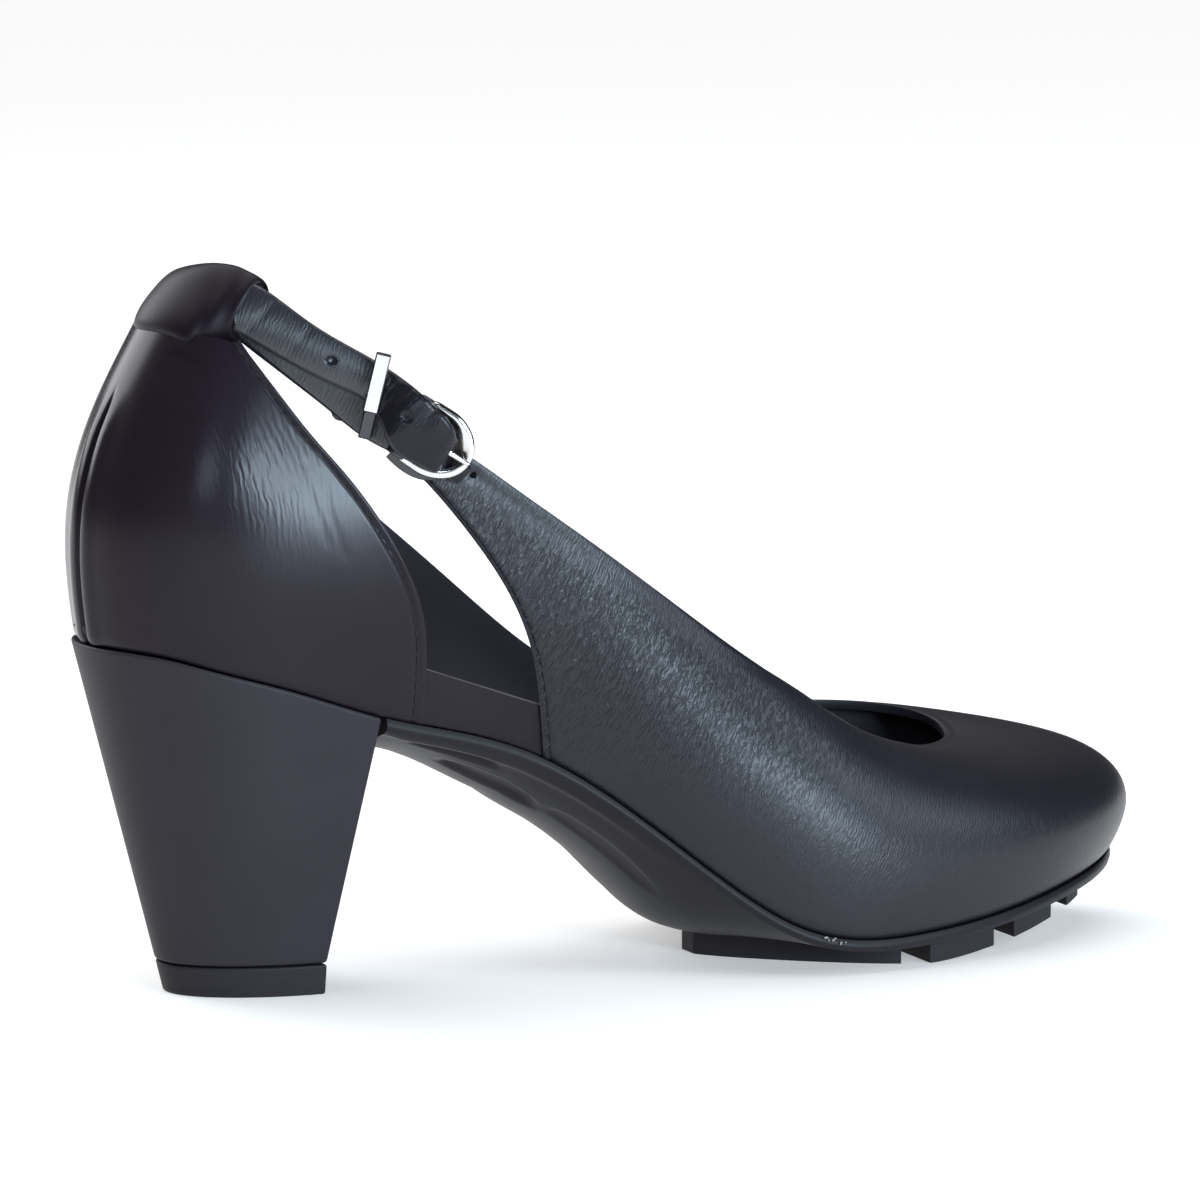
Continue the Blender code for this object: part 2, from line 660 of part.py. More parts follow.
def make_buckle():
    """Metal frame with its bar, and the prong that turns on the bar."""
    path = frame_path()
    run = unit(np.roll(path, -1, 0) - np.roll(path, 1, 0))
    side = np.stack((run[:, 1], -run[:, 0]), 1)
    on_bar = path[:, 0] < 0.01
    loops = []
    for i in range(8):
        angle = (i + 0.5) * math.pi / 4
        face = np.where(on_bar, BAR_RADIUS, FRAME_FACE / 2)[:, None]
        deep = np.where(on_bar, BAR_RADIUS, FRAME_DEPTH / 2)
        flat = path + side * face * math.cos(angle) * OCTAGON_FILL
        loops.append(placed(np.column_stack((flat, deep * math.sin(angle) * OCTAGON_FILL))))
    swept("buckle_frame", np.stack(loops, 1), NICKEL, closed=True)

    ring = BAR_RADIUS + GAP + PRONG_THICK / 2
    angles = np.radians(np.linspace(PRONG_CURL, 90, 15))
    line = [(ring * math.cos(a), ring * math.sin(a)) for a in angles]
    reach = np.linalg.norm(FRAME_APEX - FRAME_BAR)
    rest = FRAME_DEPTH / 2 + GAP + PRONG_THICK / 2
    line += [(reach * 0.6, rest), (reach + FRAME_FACE / 2, rest)]
    line = np.array(line)
    run = unit(np.gradient(line, axis=0))
    loops = []
    for w, n in ((-1, -1), (1, -1), (1, 1), (-1, 1)):
        moved = line + np.stack((-run[:, 1], run[:, 0]), 1) * n * PRONG_THICK / 2
        beside = np.full(len(line), w * PRONG_WIDTH / 2)
        loops.append(placed(np.column_stack((moved[:, 0], beside, moved[:, 1]))))
    swept("buckle_prong", np.stack(loops, 1), NICKEL)


def make_keeper():
    """Flat metal loop round the fixed strap and the tail."""
    along, across, off = buckle_axes()
    turn = math.radians(KEEPER_TURN)
    run = along * math.cos(turn) + across * math.sin(turn)
    across = across * math.cos(turn) - along * math.sin(turn)
    loops = []
    for a, wall_side in ((-1, -1), (1, -1), (1, 1), (-1, 1)):
        half_w = KEEPER_HALF_LENGTH + wall_side * KEEPER_WALL / 2
        half_n = KEEPER_HALF_DEPTH + wall_side * KEEPER_WALL / 2
        ring = ((-1, -1), (1, -1), (1, 1), (-1, 1))
        points = [across * w * half_w + off * n * half_n for w, n in ring]
        loops.append(np.array(KEEPER_AT) + points + run * a * KEEPER_WIDTH / 2)
    swept("strap_keeper", np.stack(loops, 1), NICKEL, closed=True)


def main():
    """Build the shoe."""
    for piece in list(bpy.data.objects):
        bpy.data.objects.remove(piece)
    make_upper()
    make_outsole()
    make_heel()
    make_insole()
    make_collar_loop()
    make_straps()
    make_buckle()
    make_keeper()


main()
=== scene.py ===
"""Looks of a mid heel shoe for a right foot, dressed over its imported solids.

Lengths in the tables are millimetres in the shoemaker's frame: x from the back of the heel to the
toe, y to the inner side of the foot and z up from the floor. Meshes are metres in the row's frame.
"""

import json
import logging
import math
from dataclasses import dataclass
from enum import Enum
from typing import Callable, NamedTuple, Optional, Sequence

import bmesh
import bpy
import numpy as np
from mathutils import Matrix, Quaternion, Vector

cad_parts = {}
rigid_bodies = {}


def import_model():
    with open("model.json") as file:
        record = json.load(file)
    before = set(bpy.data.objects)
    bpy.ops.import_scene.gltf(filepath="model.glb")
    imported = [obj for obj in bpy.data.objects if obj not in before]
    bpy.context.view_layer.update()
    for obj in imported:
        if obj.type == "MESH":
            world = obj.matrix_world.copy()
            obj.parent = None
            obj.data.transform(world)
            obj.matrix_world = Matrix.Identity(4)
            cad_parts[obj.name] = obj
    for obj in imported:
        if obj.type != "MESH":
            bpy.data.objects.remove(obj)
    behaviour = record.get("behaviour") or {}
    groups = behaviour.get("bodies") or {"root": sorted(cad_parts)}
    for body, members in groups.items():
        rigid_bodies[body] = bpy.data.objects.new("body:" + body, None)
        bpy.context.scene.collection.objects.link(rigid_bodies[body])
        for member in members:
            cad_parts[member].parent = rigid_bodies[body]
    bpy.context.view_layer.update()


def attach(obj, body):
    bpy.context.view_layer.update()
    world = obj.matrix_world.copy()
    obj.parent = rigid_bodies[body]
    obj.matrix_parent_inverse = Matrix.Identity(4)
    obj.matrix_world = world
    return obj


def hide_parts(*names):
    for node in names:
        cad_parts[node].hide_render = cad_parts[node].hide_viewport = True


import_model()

LOG = logging.getLogger("shoe")
MM = 0.001
ORIGIN = np.array((113.2, -0.4, 0.0))
BODY = "root"
SHARP_DEG = 48.0
Array = np.ndarray
Colour = tuple[float, float, float]


class Section(NamedTuple):
    """Section of the last: feather line, half widths, swelling of the wall and its crown."""

    x: float
    seat: float
    outer: float
    inner: float
    bulge: float
    crown: float


class Rim(NamedTuple):
    """Topline over one section, on the outer and on the inner side."""

    outer_x: float
    outer_y: float
    outer_z: float
    inner_x: float
    inner_y: float
    inner_z: float


class Spot(NamedTuple):
    """Point seen from the outer side."""

    x: float
    z: float


class Row(NamedTuple):
    """Row of a strap's table: middle point, lean of its face in degrees, width."""

    x: float
    y: float
    z: float
    lean: float
    width: float


class Ridge(NamedTuple):
    """Rounded ridge beside an edge, or groove where its height is below 0."""

    at: float
    width: float
    height: float


class Crease(NamedTuple):
    """Soft crease along a line in the side view."""

    line: tuple[Spot, ...]
    width: float
    height: float


class Zone(NamedTuple):
    """Soft step of a measure: where it starts and how far it runs."""

    start: float
    run: float


class Window(NamedTuple):
    """Soft light: place and size in metres, power in watts, colour and roll in degrees."""

    name: str
    place: tuple[float, float, float]
    size: tuple[float, float]
    power: float
    colour: Colour
    roll: float = 0.0


class Pull(NamedTuple):
    """Point of the tail in the buckle: along the frame, across it, off the foot, width and twist."""

    along: float
    across: float
    off: float
    width: float
    twist: float


SECTIONS = (
    Section(1.2, 69.2, 0.0, 0.0, 6.7, 1.0),
    Section(3.6, 69.1, 11.0, 11.0, 6.4, 1.0),
    Section(10.7, 68.2, 19.9, 19.9, 5.6, 1.0),
    Section(21.0, 65.2, 25.2, 25.0, 4.2, 1.0),
    Section(35.0, 61.0, 26.5, 26.0, 3.2, 1.0),
    Section(52.0, 55.2, 26.0, 25.0, 2.6, 1.0),
    Section(68.0, 51.2, 25.5, 23.0, 2.2, 1.02),
    Section(84.0, 45.8, 25.6, 21.5, 2.3, 1.04),
    Section(100.0, 36.0, 28.0, 22.0, 2.6, 1.1),
    Section(116.0, 23.2, 32.6, 25.5, 3.0, 1.22),
    Section(132.0, 11.6, 37.0, 31.0, 3.2, 1.42),
    Section(147.0, 7.0, 39.0, 35.6, 3.3, 1.68),
    Section(163.0, 7.0, 37.6, 37.6, 3.4, 1.95),
    Section(180.0, 8.5, 33.2, 36.4, 3.8, 2.4),
    Section(196.0, 10.9, 26.5, 31.8, 4.1, 2.75),
    Section(210.2, 13.0, 16.4, 24.6, 4.2, 3.05),
    Section(219.6, 14.4, 5.4, 15.8, 4.2, 3.3),
    Section(223.4, 15.0, -5.2, 5.2, 4.2, 3.4),
)
TOPLINE = (
    Rim(14.0, 0.0, 129.4, 14.0, 0.0, 129.4),
    Rim(15.3, -8.5, 129.3, 15.4, 8.2, 129.2),
    Rim(18.7, -15.2, 128.7, 18.9, 14.4, 128.2),
    Rim(25.2, -20.0, 127.2, 26.4, 18.6, 123.8),
    Rim(38.0, -24.0, 121.6, 39.5, 21.3, 112.8),
    Rim(53.5, -27.4, 113.5, 54.5, 23.0, 100.6),
    Rim(66.5, -30.6, 106.0, 70.5, 24.2, 87.6),
    Rim(79.0, -31.6, 97.2, 87.0, 25.4, 73.4),
    Rim(93.0, -31.8, 87.3, 103.5, 27.0, 59.4),
    Rim(109.0, -31.3, 75.6, 118.5, 28.6, 50.6),
    Rim(124.5, -30.5, 64.3, 132.5, 29.4, 46.4),
    Rim(138.6, -28.6, 55.0, 147.5, 28.6, 44.7),
    Rim(151.5, -24.6, 46.8, 162.5, 26.6, 44.0),
    Rim(163.5, -18.2, 42.0, 175.0, 23.2, 43.4),
    Rim(173.0, -10.6, 39.5, 183.5, 18.6, 42.4),
    Rim(180.4, -4.0, 38.5, 187.4, 13.6, 41.2),
    Rim(185.2, 0.8, 38.6, 188.2, 9.2, 40.1),
    Rim(187.3, 5.0, 39.2, 187.3, 5.0, 39.2),
)
KEEL = (
    Spot(50.0, 47.4),
    Spot(65.0, 43.7),
    Spot(82.0, 35.3),
    Spot(93.0, 28.4),
    Spot(103.0, 20.8),
    Spot(112.0, 12.0),
    Spot(119.0, 6.6),
    Spot(127.0, 4.6),
    Spot(140.0, 4.4),
    Spot(163.0, 4.4),
    Spot(181.0, 6.0),
    Spot(198.0, 8.6),
    Spot(212.0, 10.7),
    Spot(226.0, 12.6),
)
COUNTER_EDGE = (
    Spot(20.0, 137.0),
    Spot(25.7, 127.7),
    Spot(36.5, 111.7),
    Spot(45.0, 101.3),
    Spot(54.5, 87.1),
    Spot(59.4, 74.6),
    Spot(60.6, 63.8),
    Spot(60.6, 50.0),
)
VAMP_EDGE = (
    Spot(86.0, 43.0),
    Spot(84.0, 55.4),
    Spot(80.6, 69.2),
    Spot(73.2, 83.6),
    Spot(62.4, 97.6),
    Spot(58.2, 102.2),
)
EAR_TOP = Spot(65.0, 113.2)
BRIDGE_TOP = (Spot(60.6, 63.8), Spot(84.0, 55.4))
TUNNEL = (
    Row(28.5, 15.3, 131.4, 22.8, 12.0),
    Row(24.0, 10.4, 133.2, 41.6, 12.0),
    Row(19.7, 0.0, 134.6, 42.4, 12.0),
    Row(24.2, -10.6, 135.8, 40.0, 12.0),
    Row(29.3, -15.9, 132.6, 21.0, 12.0),
)
FIXED_STRAP = (
    Row(29.0, 14.6, 132.1, 18.0, 9.0),
    Row(24.8, 10.0, 133.4, 40.0, 8.8),
    Row(21.4, 0.0, 133.6, 40.0, 8.8),
    Row(24.8, -10.0, 134.8, 40.0, 8.8),
    Row(28.7, -14.9, 132.0, 18.0, 8.8),
    Row(34.5, -18.4, 127.3, 12.0, 9.6),
    Row(40.4, -21.5, 122.6, 9.0, 10.2),
    Row(46.1, -24.5, 117.8, 7.0, 10.6),
    Row(51.2, -27.6, 113.6, 6.0, 11.2),
    Row(56.6, -31.3, 110.9, 6.0, 12.0),
)
TAIL = (
    Row(26.4, -15.4, 133.6, 18.0, 9.8),
    Row(29.4, -17.2, 132.8, 16.0, 9.8),
    Row(37.0, -21.6, 127.2, 10.0, 8.6),
    Row(44.6, -25.6, 122.5, 8.0, 7.9),
    Row(50.0, -29.0, 119.1, 6.0, 7.6),
)
TAIL_THROUGH = (
    Pull(-3.8, 2.0, 3.6, 9.6, -0.06),
    Pull(0.0, 0.4, 4.0, 11.4, -0.02),
    Pull(3.4, -0.1, 3.6, 10.8, 0.10),
    Pull(6.2, -0.8, 2.5, 9.0, 0.10),
    Pull(8.0, -1.1, 0.2, 7.8, 0.0),
    Pull(9.5, -1.6, -2.4, 6.6, 0.0),
    Pull(11.4, -2.6, -4.2, 5.4, 0.0),
    Pull(13.0, -3.1, -5.15, 4.6, 0.0),
)
STITCH_INSET = 1.9
QUARTER_HEM = (Ridge(STITCH_INSET, 0.4, -0.32), Ridge(0.7, 0.6, 0.2))
QUARTER_FOOT = (Ridge(0.0, 0.8, -0.35),)
QUARTER_CREASES = (
    Crease((Spot(36.5, 104.5), Spot(37.4, 98.0), Spot(40.2, 89.5)), 0.9, -0.035),
    Crease((Spot(39.6, 102.5), Spot(40.5, 95.5), Spot(43.6, 87.0)), 0.9, -0.03),
    Crease((Spot(16.0, 124.4), Spot(18.8, 122.6)), 1.2, -0.09),
    Crease((Spot(16.2, 125.9), Spot(19.4, 124.1)), 1.2, 0.09),
)
VAMP_HEM = (Ridge(STITCH_INSET, 0.4, -0.36), Ridge(0.7, 0.6, 0.28))
VAMP_TOP = (Ridge(0.9, 0.8, 0.12), Ridge(2.4, 0.6, -0.1))
VAMP_FOOT = (Ridge(0.0, 0.8, -0.5),)
VAMP_END = (Ridge(STITCH_INSET, 0.4, -0.25),)
TAIL_CREASES = (
    Ridge(6.0, 0.7, -0.10),
    Ridge(14.5, 0.7, -0.07),
    Ridge(31.0, 0.7, -0.22),
    Ridge(33.4, 0.7, -0.16),
    Ridge(36.5, 0.7, -0.22),
)
WINDOWS = (
    Window("long_window", (0.23, -1.467, 0.30), (0.6, 0.13), 14.0, (0.68, 0.86, 1.0), -40.0),
    Window("low_window", (0.46, -1.42, 0.17), (0.3, 0.26), 5.5, (0.66, 0.85, 1.0)),
    Window("side_window", (1.0, -1.05, 0.78), (0.6, 0.8), 10.0, (0.76, 0.89, 1.0)),
    Window("left_window", (-0.56, -1.33, 0.45), (0.35, 0.22), 1.8, (0.72, 0.87, 1.0)),
    Window("back_window", (-0.7, 1.3, 0.7), (0.9, 1.0), 12.0, (0.95, 0.97, 1.0)),
)
FRAME_BAR = np.array((56.6, -31.3, 110.9))
FRAME_APEX = np.array((65.6, -35.2, 104.4))
KEEPER_AT = np.array((49.7, -28.3, 116.4))


def smooth(value: Array) -> Array:
    """Soft step from 0 to 1."""
    t = np.clip(value, 0.0, 1.0)
    return t * t * (3 - 2 * t)


def bell(distance: Array, width: float) -> Array:
    """Bell curve, 1 at distance 0."""
    return np.exp(-((distance / width) ** 2))


def squared(wave: Array, power: float) -> Array:
    """Sine or cosine that is drawn out towards a square section."""
    return np.abs(wave) ** power * np.sign(wave)


def ramp(value: Array, zone: Zone) -> Array:
    """Soft step from 0 to 1 over a zone."""
    return smooth((value - zone.start) / zone.run)


def ridge_height(distance: Array, ridges: Sequence[Ridge]) -> Array:
    """Height of ridges at distances from the edge that they are measured from."""
    return sum(ridge.height * bell(distance - ridge.at, ridge.width) for ridge in ridges)


def oval(x: Array, z: Array, middle: Spot, reach: Spot) -> Array:
    """Bell curve over an oval in the side view."""
    return bell(np.hypot((x - middle.x) / reach.x, (z - middle.z) / reach.z), 1.0)


def unit(vectors: Array) -> Array:
    """Vectors made one long."""
    return vectors / np.maximum(np.linalg.norm(vectors, axis=-1, keepdims=True), 1e-12)


def arc_lengths(points: Array, axis: int) -> Array:
    """Length along a grid's lines from their start.

    Args:
        points: Grid of points.
        axis: Axis that the lines run along.

    Returns:
        Lengths with the shape of the grid.
    """
    steps = np.linalg.norm(np.diff(points, axis=axis), axis=-1)
    start = np.zeros_like(np.take(steps, [0], axis=axis))
    return np.concatenate((start, np.cumsum(steps, axis=axis)), axis=axis)


def open_spline(rows: Sequence, at: Array) -> Array:
    """Cubic through rows one step apart with free ends.

    Args:
        rows: Rows of numbers.
        at: Positions, counted in rows.

    Returns:
        Rows at those positions.
    """
    table = np.asarray(rows, float)
    count = len(table)
    system = 4 * np.eye(count) + np.eye(count, k=1) + np.eye(count, k=-1)
    force = np.zeros_like(table)
    force[1:-1] = 6 * (table[2:] - 2 * table[1:-1] + table[:-2])
    system[0, :2] = (1, 0)
    system[-1, -2:] = (0, 1)
    bend = np.linalg.solve(system, force)
    a = np.clip(np.floor(at).astype(int), 0, count - 2)
    t = (np.asarray(at) - a)[..., None]
    s = 1 - t
    return s * table[a] + t * table[a + 1] + ((s**3 - s) * bend[a] + (t**3 - t) * bend[a + 1]) / 6


def smooth_line(rows: Sequence, count: int) -> Array:
    """Even steps along the smooth curve through a table's rows."""
    return open_spline(rows, np.linspace(0, len(rows) - 1, count))


def distance_to_line(x: Array, z: Array, line: Sequence[Spot]) -> Array:
    """Distance in the side view from points to a chain of straight stretches.

    Args:
        x: Places along the shoe.
        z: Heights.
        line: Corners of the chain.

    Returns:
        Distance of each point.
    """
    best = np.full(np.shape(x), np.inf)
    for a, b in zip(line[:-1], line[1:]):
        run, rise = b.x - a.x, b.z - a.z
        t = np.clip(((x - a.x) * run + (z - a.z) * rise) / (run * run + rise * rise), 0, 1)
        best = np.minimum(best, np.hypot(x - a.x - t * run, z - a.z - t * rise))
    return best


class Last:
    """The shoe's last: a wall of ribs from the feather line to the topline, once round the foot."""

    probe = 0.01

    def __init__(self) -> None:
        """Solve the spline through the ribs."""
        outer, inner = [], []
        for s, r in zip(SECTIONS, TOPLINE):
            shape = (s.bulge, s.crown)
            outer.append((s.x, -s.outer, s.seat, r.outer_x, r.outer_y, r.outer_z) + shape)
            inner.append((s.x, s.inner, s.seat, r.inner_x, r.inner_y, r.inner_z) + shape)
        self.ribs = np.array(outer + inner[-2:0:-1])
        self.count = len(self.ribs)
        self.tip = len(SECTIONS) - 1
        same = np.eye(self.count)
        system = 4 * same + np.roll(same, 1, 0) + np.roll(same, -1, 0)
        swing = np.roll(self.ribs, -1, 0) - 2 * self.ribs + np.roll(self.ribs, 1, 0)
        self.bend = np.linalg.solve(system, 6 * swing)

    def rib(self, u: Array) -> Array:
        """Rows of the rib table at places round the foot."""
        start = np.floor(u).astype(int)
        t = (u - start)[..., None]
        s = 1 - t
        a, b = start % self.count, (start + 1) % self.count
        bend = ((s**3 - s) * self.bend[a] + (t**3 - t) * self.bend[b]) / 6
        return s * self.ribs[a] + t * self.ribs[b] + bend

    def outward(self, u: Array) -> Array:
        """Level direction away from the foot."""
        run = self.rib(u + self.probe)[..., :2] - self.rib(u - self.probe)[..., :2]
        return unit(np.stack((run[..., 1], -run[..., 0], np.zeros(np.shape(u))), -1))

    def wall(self, u: Array, v: Array) -> Array:
        """Points on the upper's outer face.

        Args:
            u: Places round the foot, counted in ribs from the centre back.
            v: Places up the wall, 0 at the feather line and 1 at the topline.

        Returns:
            Points in millimetres.
        """
        rib = self.rib(u)
        foot, top, bulge, crown = rib[..., :3], rib[..., 3:6], rib[..., 6:7], rib[..., 7:8]
        angle = np.clip(v, 0, 1)[..., None] * math.pi / 2
        rise = np.sin(angle) ** (2 / crown)
        lean = 1 - np.maximum(np.cos(angle), 0) ** (2 / crown)
        step = (top - foot) * np.concatenate((lean, lean, rise), -1)
        return foot + step + self.outward(u) * bulge * np.sin(math.pi * rise)

    def normal(self, u: Array, v: Array) -> Array:
        """Direction out of the wall."""
        along = self.wall(u + self.probe, v) - self.wall(u - self.probe, v)
        low, high = np.clip(v - self.probe, 0, 1), np.clip(v + self.probe, 0, 1)
        return unit(np.cross(along, self.wall(u, high) - self.wall(u, low)))

    def locate(self, x: Array, z: Array) -> tuple[Array, Array, Array]:
        """Places on the outer side of the wall, found from a side view.

        Args:
            x: Places along the shoe.
            z: Heights.

        Returns:
            Places round the foot, places up the wall, and how far each is from its target.
        """
        x, z = np.asarray(x, float), np.asarray(z, float)
        u = np.interp(x, [s.x for s in SECTIONS], range(len(SECTIONS)))
        share = np.full(x.shape, 0.5)
        step = 1e-4

        def reach(u_at: Array, share_at: Array) -> Array:
            """Side view of the wall at a share of its height."""
            v_at = np.arcsin(np.sqrt(np.clip(share_at, 0, 1))) * 2 / math.pi
            return self.wall(u_at, v_at)[..., (0, 2)]

        for _ in range(30):
            here = reach(u, share)
            by_u = (reach(u + step, share) - here) / step
            inside = np.where(share > 0.5, -step, step)
            by_share = (reach(u, share + inside) - here) / inside[..., None]
            miss = np.stack((x, z), -1) - here
            det = by_u[..., 0] * by_share[..., 1] - by_u[..., 1] * by_share[..., 0]
            du = (miss[..., 0] * by_share[..., 1] - miss[..., 1] * by_share[..., 0]) / det
            dv = (by_u[..., 0] * miss[..., 1] - by_u[..., 1] * miss[..., 0]) / det
            u = np.clip(u + np.clip(du, -1, 1), 0, self.tip)
            share = np.clip(share + np.clip(dv, -0.3, 0.3), 0, 1)
        v = np.arcsin(np.sqrt(share)) * 2 / math.pi
        miss = np.linalg.norm(np.stack((x, z), -1) - reach(u, share), axis=-1)
        return u, v, miss

    def edge(self, line: Array) -> Callable[[Array], Array]:
        """A cut edge as a place round the foot for each place up the wall.

        Args:
            line: Points of the edge in the side view.

        Returns:
            Function from places up the wall to places round the foot.
        """
        u, v, miss = self.locate(line[:, 0], line[:, 1])
        kept = miss < 0.2
        order = np.argsort(v[kept])
        return lambda at: np.interp(at, v[kept][order], u[kept][order])

    def feather(self, stations: Array, out: float, side: int) -> Array:
        """Feather line moved outwards, on the outer (-1) or inner (1) side."""
        u = stations if side < 0 else self.count - stations
        return self.rib(u)[..., :3] + self.outward(u) * out


LAST = Last()


class Patch(NamedTuple):
    """Points of a grid, and what its leather's grain reads there."""

    points: Array
    grain: Optional[Array] = None
    depth: Optional[Array] = None


class Closing(Enum):
    """Which of a grid's lines close on themselves."""

    OPEN = (False, False)
    COLUMNS = (True, False)
    BOTH = (True, True)


@dataclass(frozen=True)
class Modifiers:
    """Wall thickness and rounded edges that finish a piece, in millimetres."""

    wall: float = 0.0
    rounding: float = 0.0
    segments: int = 3
    sharp_deg: float = 50.0

    def apply(self, piece: bpy.types.Object) -> None:
        """Add the modifiers to a piece."""
        if self.wall:
            solidify = piece.modifiers.new("wall", "SOLIDIFY")
            solidify.thickness = self.wall * MM
            solidify.offset = -1
            solidify.material_offset = 1
            solidify.material_offset_rim = 0
        if self.rounding:
            bevel = piece.modifiers.new("rounding", "BEVEL")
            bevel.width = self.rounding * MM
            bevel.segments = self.segments
            bevel.profile = 0.5
            bevel.limit_method = "ANGLE"
            bevel.angle_limit = math.radians(self.sharp_deg)


def add_bead(shape: bmesh.types.BMesh, middle: Array, axes: Sequence, sides: int, rings: int) -> set:
    """Add an oval bead.

    Args:
        shape: Mesh that takes it.
        middle: Its middle in millimetres.
        axes: Its three half axes in millimetres.
        sides: Cells round it.
        rings: Cells from end to end.

    Returns:
        Its faces.
    """
    turn = Matrix(np.stack(axes, 1).tolist()).to_4x4()
    spot = Matrix.Translation(Vector((np.asarray(middle) - ORIGIN) * MM))
    made = bmesh.ops.create_uvsphere(
        shape, u_segments=sides, v_segments=rings, radius=MM, matrix=spot @ turn
    )["verts"]
    return {face for vertex in made for face in vertex.link_faces}


def link(
    name: str, shape: bmesh.types.BMesh, finishes: Sequence[bpy.types.Material]
) -> bpy.types.Object:
    """Make an object from a bmesh.

    Args:
        name: Name of the piece.
        shape: Its mesh in metres; it is freed.
        finishes: Materials in the order of the faces' numbers.

    Returns:
        The new object.
    """
    mesh = bpy.data.meshes.new(name)
    shape.to_mesh(mesh)
    shape.free()
    for finish in finishes:
        mesh.materials.append(finish)
    mesh.shade_smooth()
    mesh.set_sharp_from_angle(angle=math.radians(SHARP_DEG))
    piece = bpy.data.objects.new(name, mesh)
    bpy.context.scene.collection.objects.link(piece)
    return piece


def weave_grid(
    shape: bmesh.types.BMesh,
    columns: int,
    rows: int,
    form: Callable[[Array, Array], Patch],
    closing: Closing = Closing.OPEN,
    paint: Optional[Callable[[float, float], int]] = None,
) -> None:
    """Add a grid that a function bends into its form.

    Args:
        shape: Mesh that takes the grid.
        columns: Cells along the first direction.
        rows: Cells along the second.
        form: Function from two grids of shares to the bent points in millimetres.
        closing: Which lines close on themselves; a tube's open ends are filled.
        paint: Function from a cell's shares to its material's number.
    """
    vectors, floats = shape.verts.layers.float_vector, shape.verts.layers.float
    grain_layer = vectors.get("grain") or vectors.new("grain")
    depth_layer = floats.get("depth") or floats.new("depth")
    made = bmesh.ops.create_grid(shape, x_segments=columns, y_segments=rows, size=0.5)["verts"]
    faces = {face for vertex in made for face in vertex.link_faces}
    if paint:
        for face in faces:
            middle = face.calc_center_median()
            face.material_index = paint(middle.x + 0.5, middle.y + 0.5)
    s, t = np.meshgrid(np.linspace(0, 1, columns + 1), np.linspace(0, 1, rows + 1))
    patch = form(s, t)
    points = (patch.points - ORIGIN) * MM
    for vertex in made:
        i = round((vertex.co.x + 0.5) * columns)
        j = round((vertex.co.y + 0.5) * rows)
        vertex.co = points[j, i]
        if patch.grain is not None:
            vertex[grain_layer] = patch.grain[j, i]
        vertex[depth_layer] = 1.0 if patch.depth is None else patch.depth[j, i]
    if closing is not Closing.OPEN:
        bmesh.ops.remove_doubles(shape, verts=made, dist=1e-7)
        rims = [edge for edge in shape.edges if edge.is_boundary]
        bmesh.ops.holes_fill(shape, edges=rims, sides=0)
        bmesh.ops.recalc_face_normals(shape, faces=shape.faces[:])


@dataclass
class Dresser:
    """Hands finished pieces over to the frame and reports them."""

    made: int = 0

    def hand_over(self, piece: bpy.types.Object, slot: str, *nodes: str) -> None:
        """Let a piece ride on the shoe.

        Args:
            piece: The finished piece.
            slot: The record's material slot; it is not used.
            nodes: Solids that it stands for.
        """
        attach(piece, BODY)
        if nodes:
            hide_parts(*nodes)
        self.made += 1
        LOG.info("piece %d: %s, %d faces", self.made, piece.name, len(piece.data.polygons))


class Nodes:
    """Small helper that writes a material's node tree."""

    def __init__(self, name: str) -> None:
        """Start a material with its shader."""
        self.material = bpy.data.materials.new(name)
        self.material.use_nodes = True
        self.tree = self.material.node_tree
        self.shader = self.tree.nodes["Principled BSDF"]

    def add(self, kind: str, inputs: Optional[dict] = None, **settings: object) -> bpy.types.Node:
        """Add a node.

        Args:
            kind: Its type.
            inputs: Values or sockets for its inputs, by name or number.
            settings: Its own settings.

        Returns:
            The node.
        """
        node = self.tree.nodes.new(kind)
        for key, value in settings.items():
            setattr(node, key, value)
        for key, value in (inputs or {}).items():
            self.feed(node.inputs[key], value)
        return node

    def feed(self, socket: bpy.types.NodeSocket, value: object) -> None:
        """Set a socket's value, or link another node's socket to it."""
        if isinstance(value, bpy.types.NodeSocket):
            self.tree.links.new(value, socket)
        else:
            socket.default_value = value

    def blend(self, share: object, low: Colour, high: Colour) -> bpy.types.NodeSocket:
        """Colour between two colours."""
        node = self.add("ShaderNodeMix", data_type="RGBA")
        self.feed(node.inputs[0], share)
        node.inputs[6].default_value = (*low, 1)
        node.inputs[7].default_value = (*high, 1)
        return node.outputs[2]

    def between(self, value: object, low: float, high: float) -> bpy.types.NodeSocket:
        """Share from 0 to 1 turned into a range."""
        node = self.add("ShaderNodeMapRange", {"Value": value, "To Min": low, "To Max": high})
        return node.outputs["Result"]

    def math(self, operation: str, a: object, b: object) -> bpy.types.NodeSocket:
        """Sum, product or other figure of two values."""
        return self.add("ShaderNodeMath", {0: a, 1: b}, operation=operation).outputs[0]

    def noise(self, vector: object, scale: float, detail: float = 2.0) -> bpy.types.NodeSocket:
        """Soft random pattern."""
        settings = {"Vector": vector, "Scale": scale, "Detail": detail}
        return self.add("ShaderNodeTexNoise", settings).outputs["Fac"]

    def place(self) -> bpy.types.NodeSocket:
        """Place on the piece, in metres."""
        return self.add("ShaderNodeTexCoord").outputs["Object"]

    def dress(self, **values: object) -> bpy.types.Material:
        """Set the shader's sockets, by name with spaces as underscores."""
        for key, value in values.items():
            self.feed(self.shader.inputs[key.replace("_", " ")], value)
        return self.material


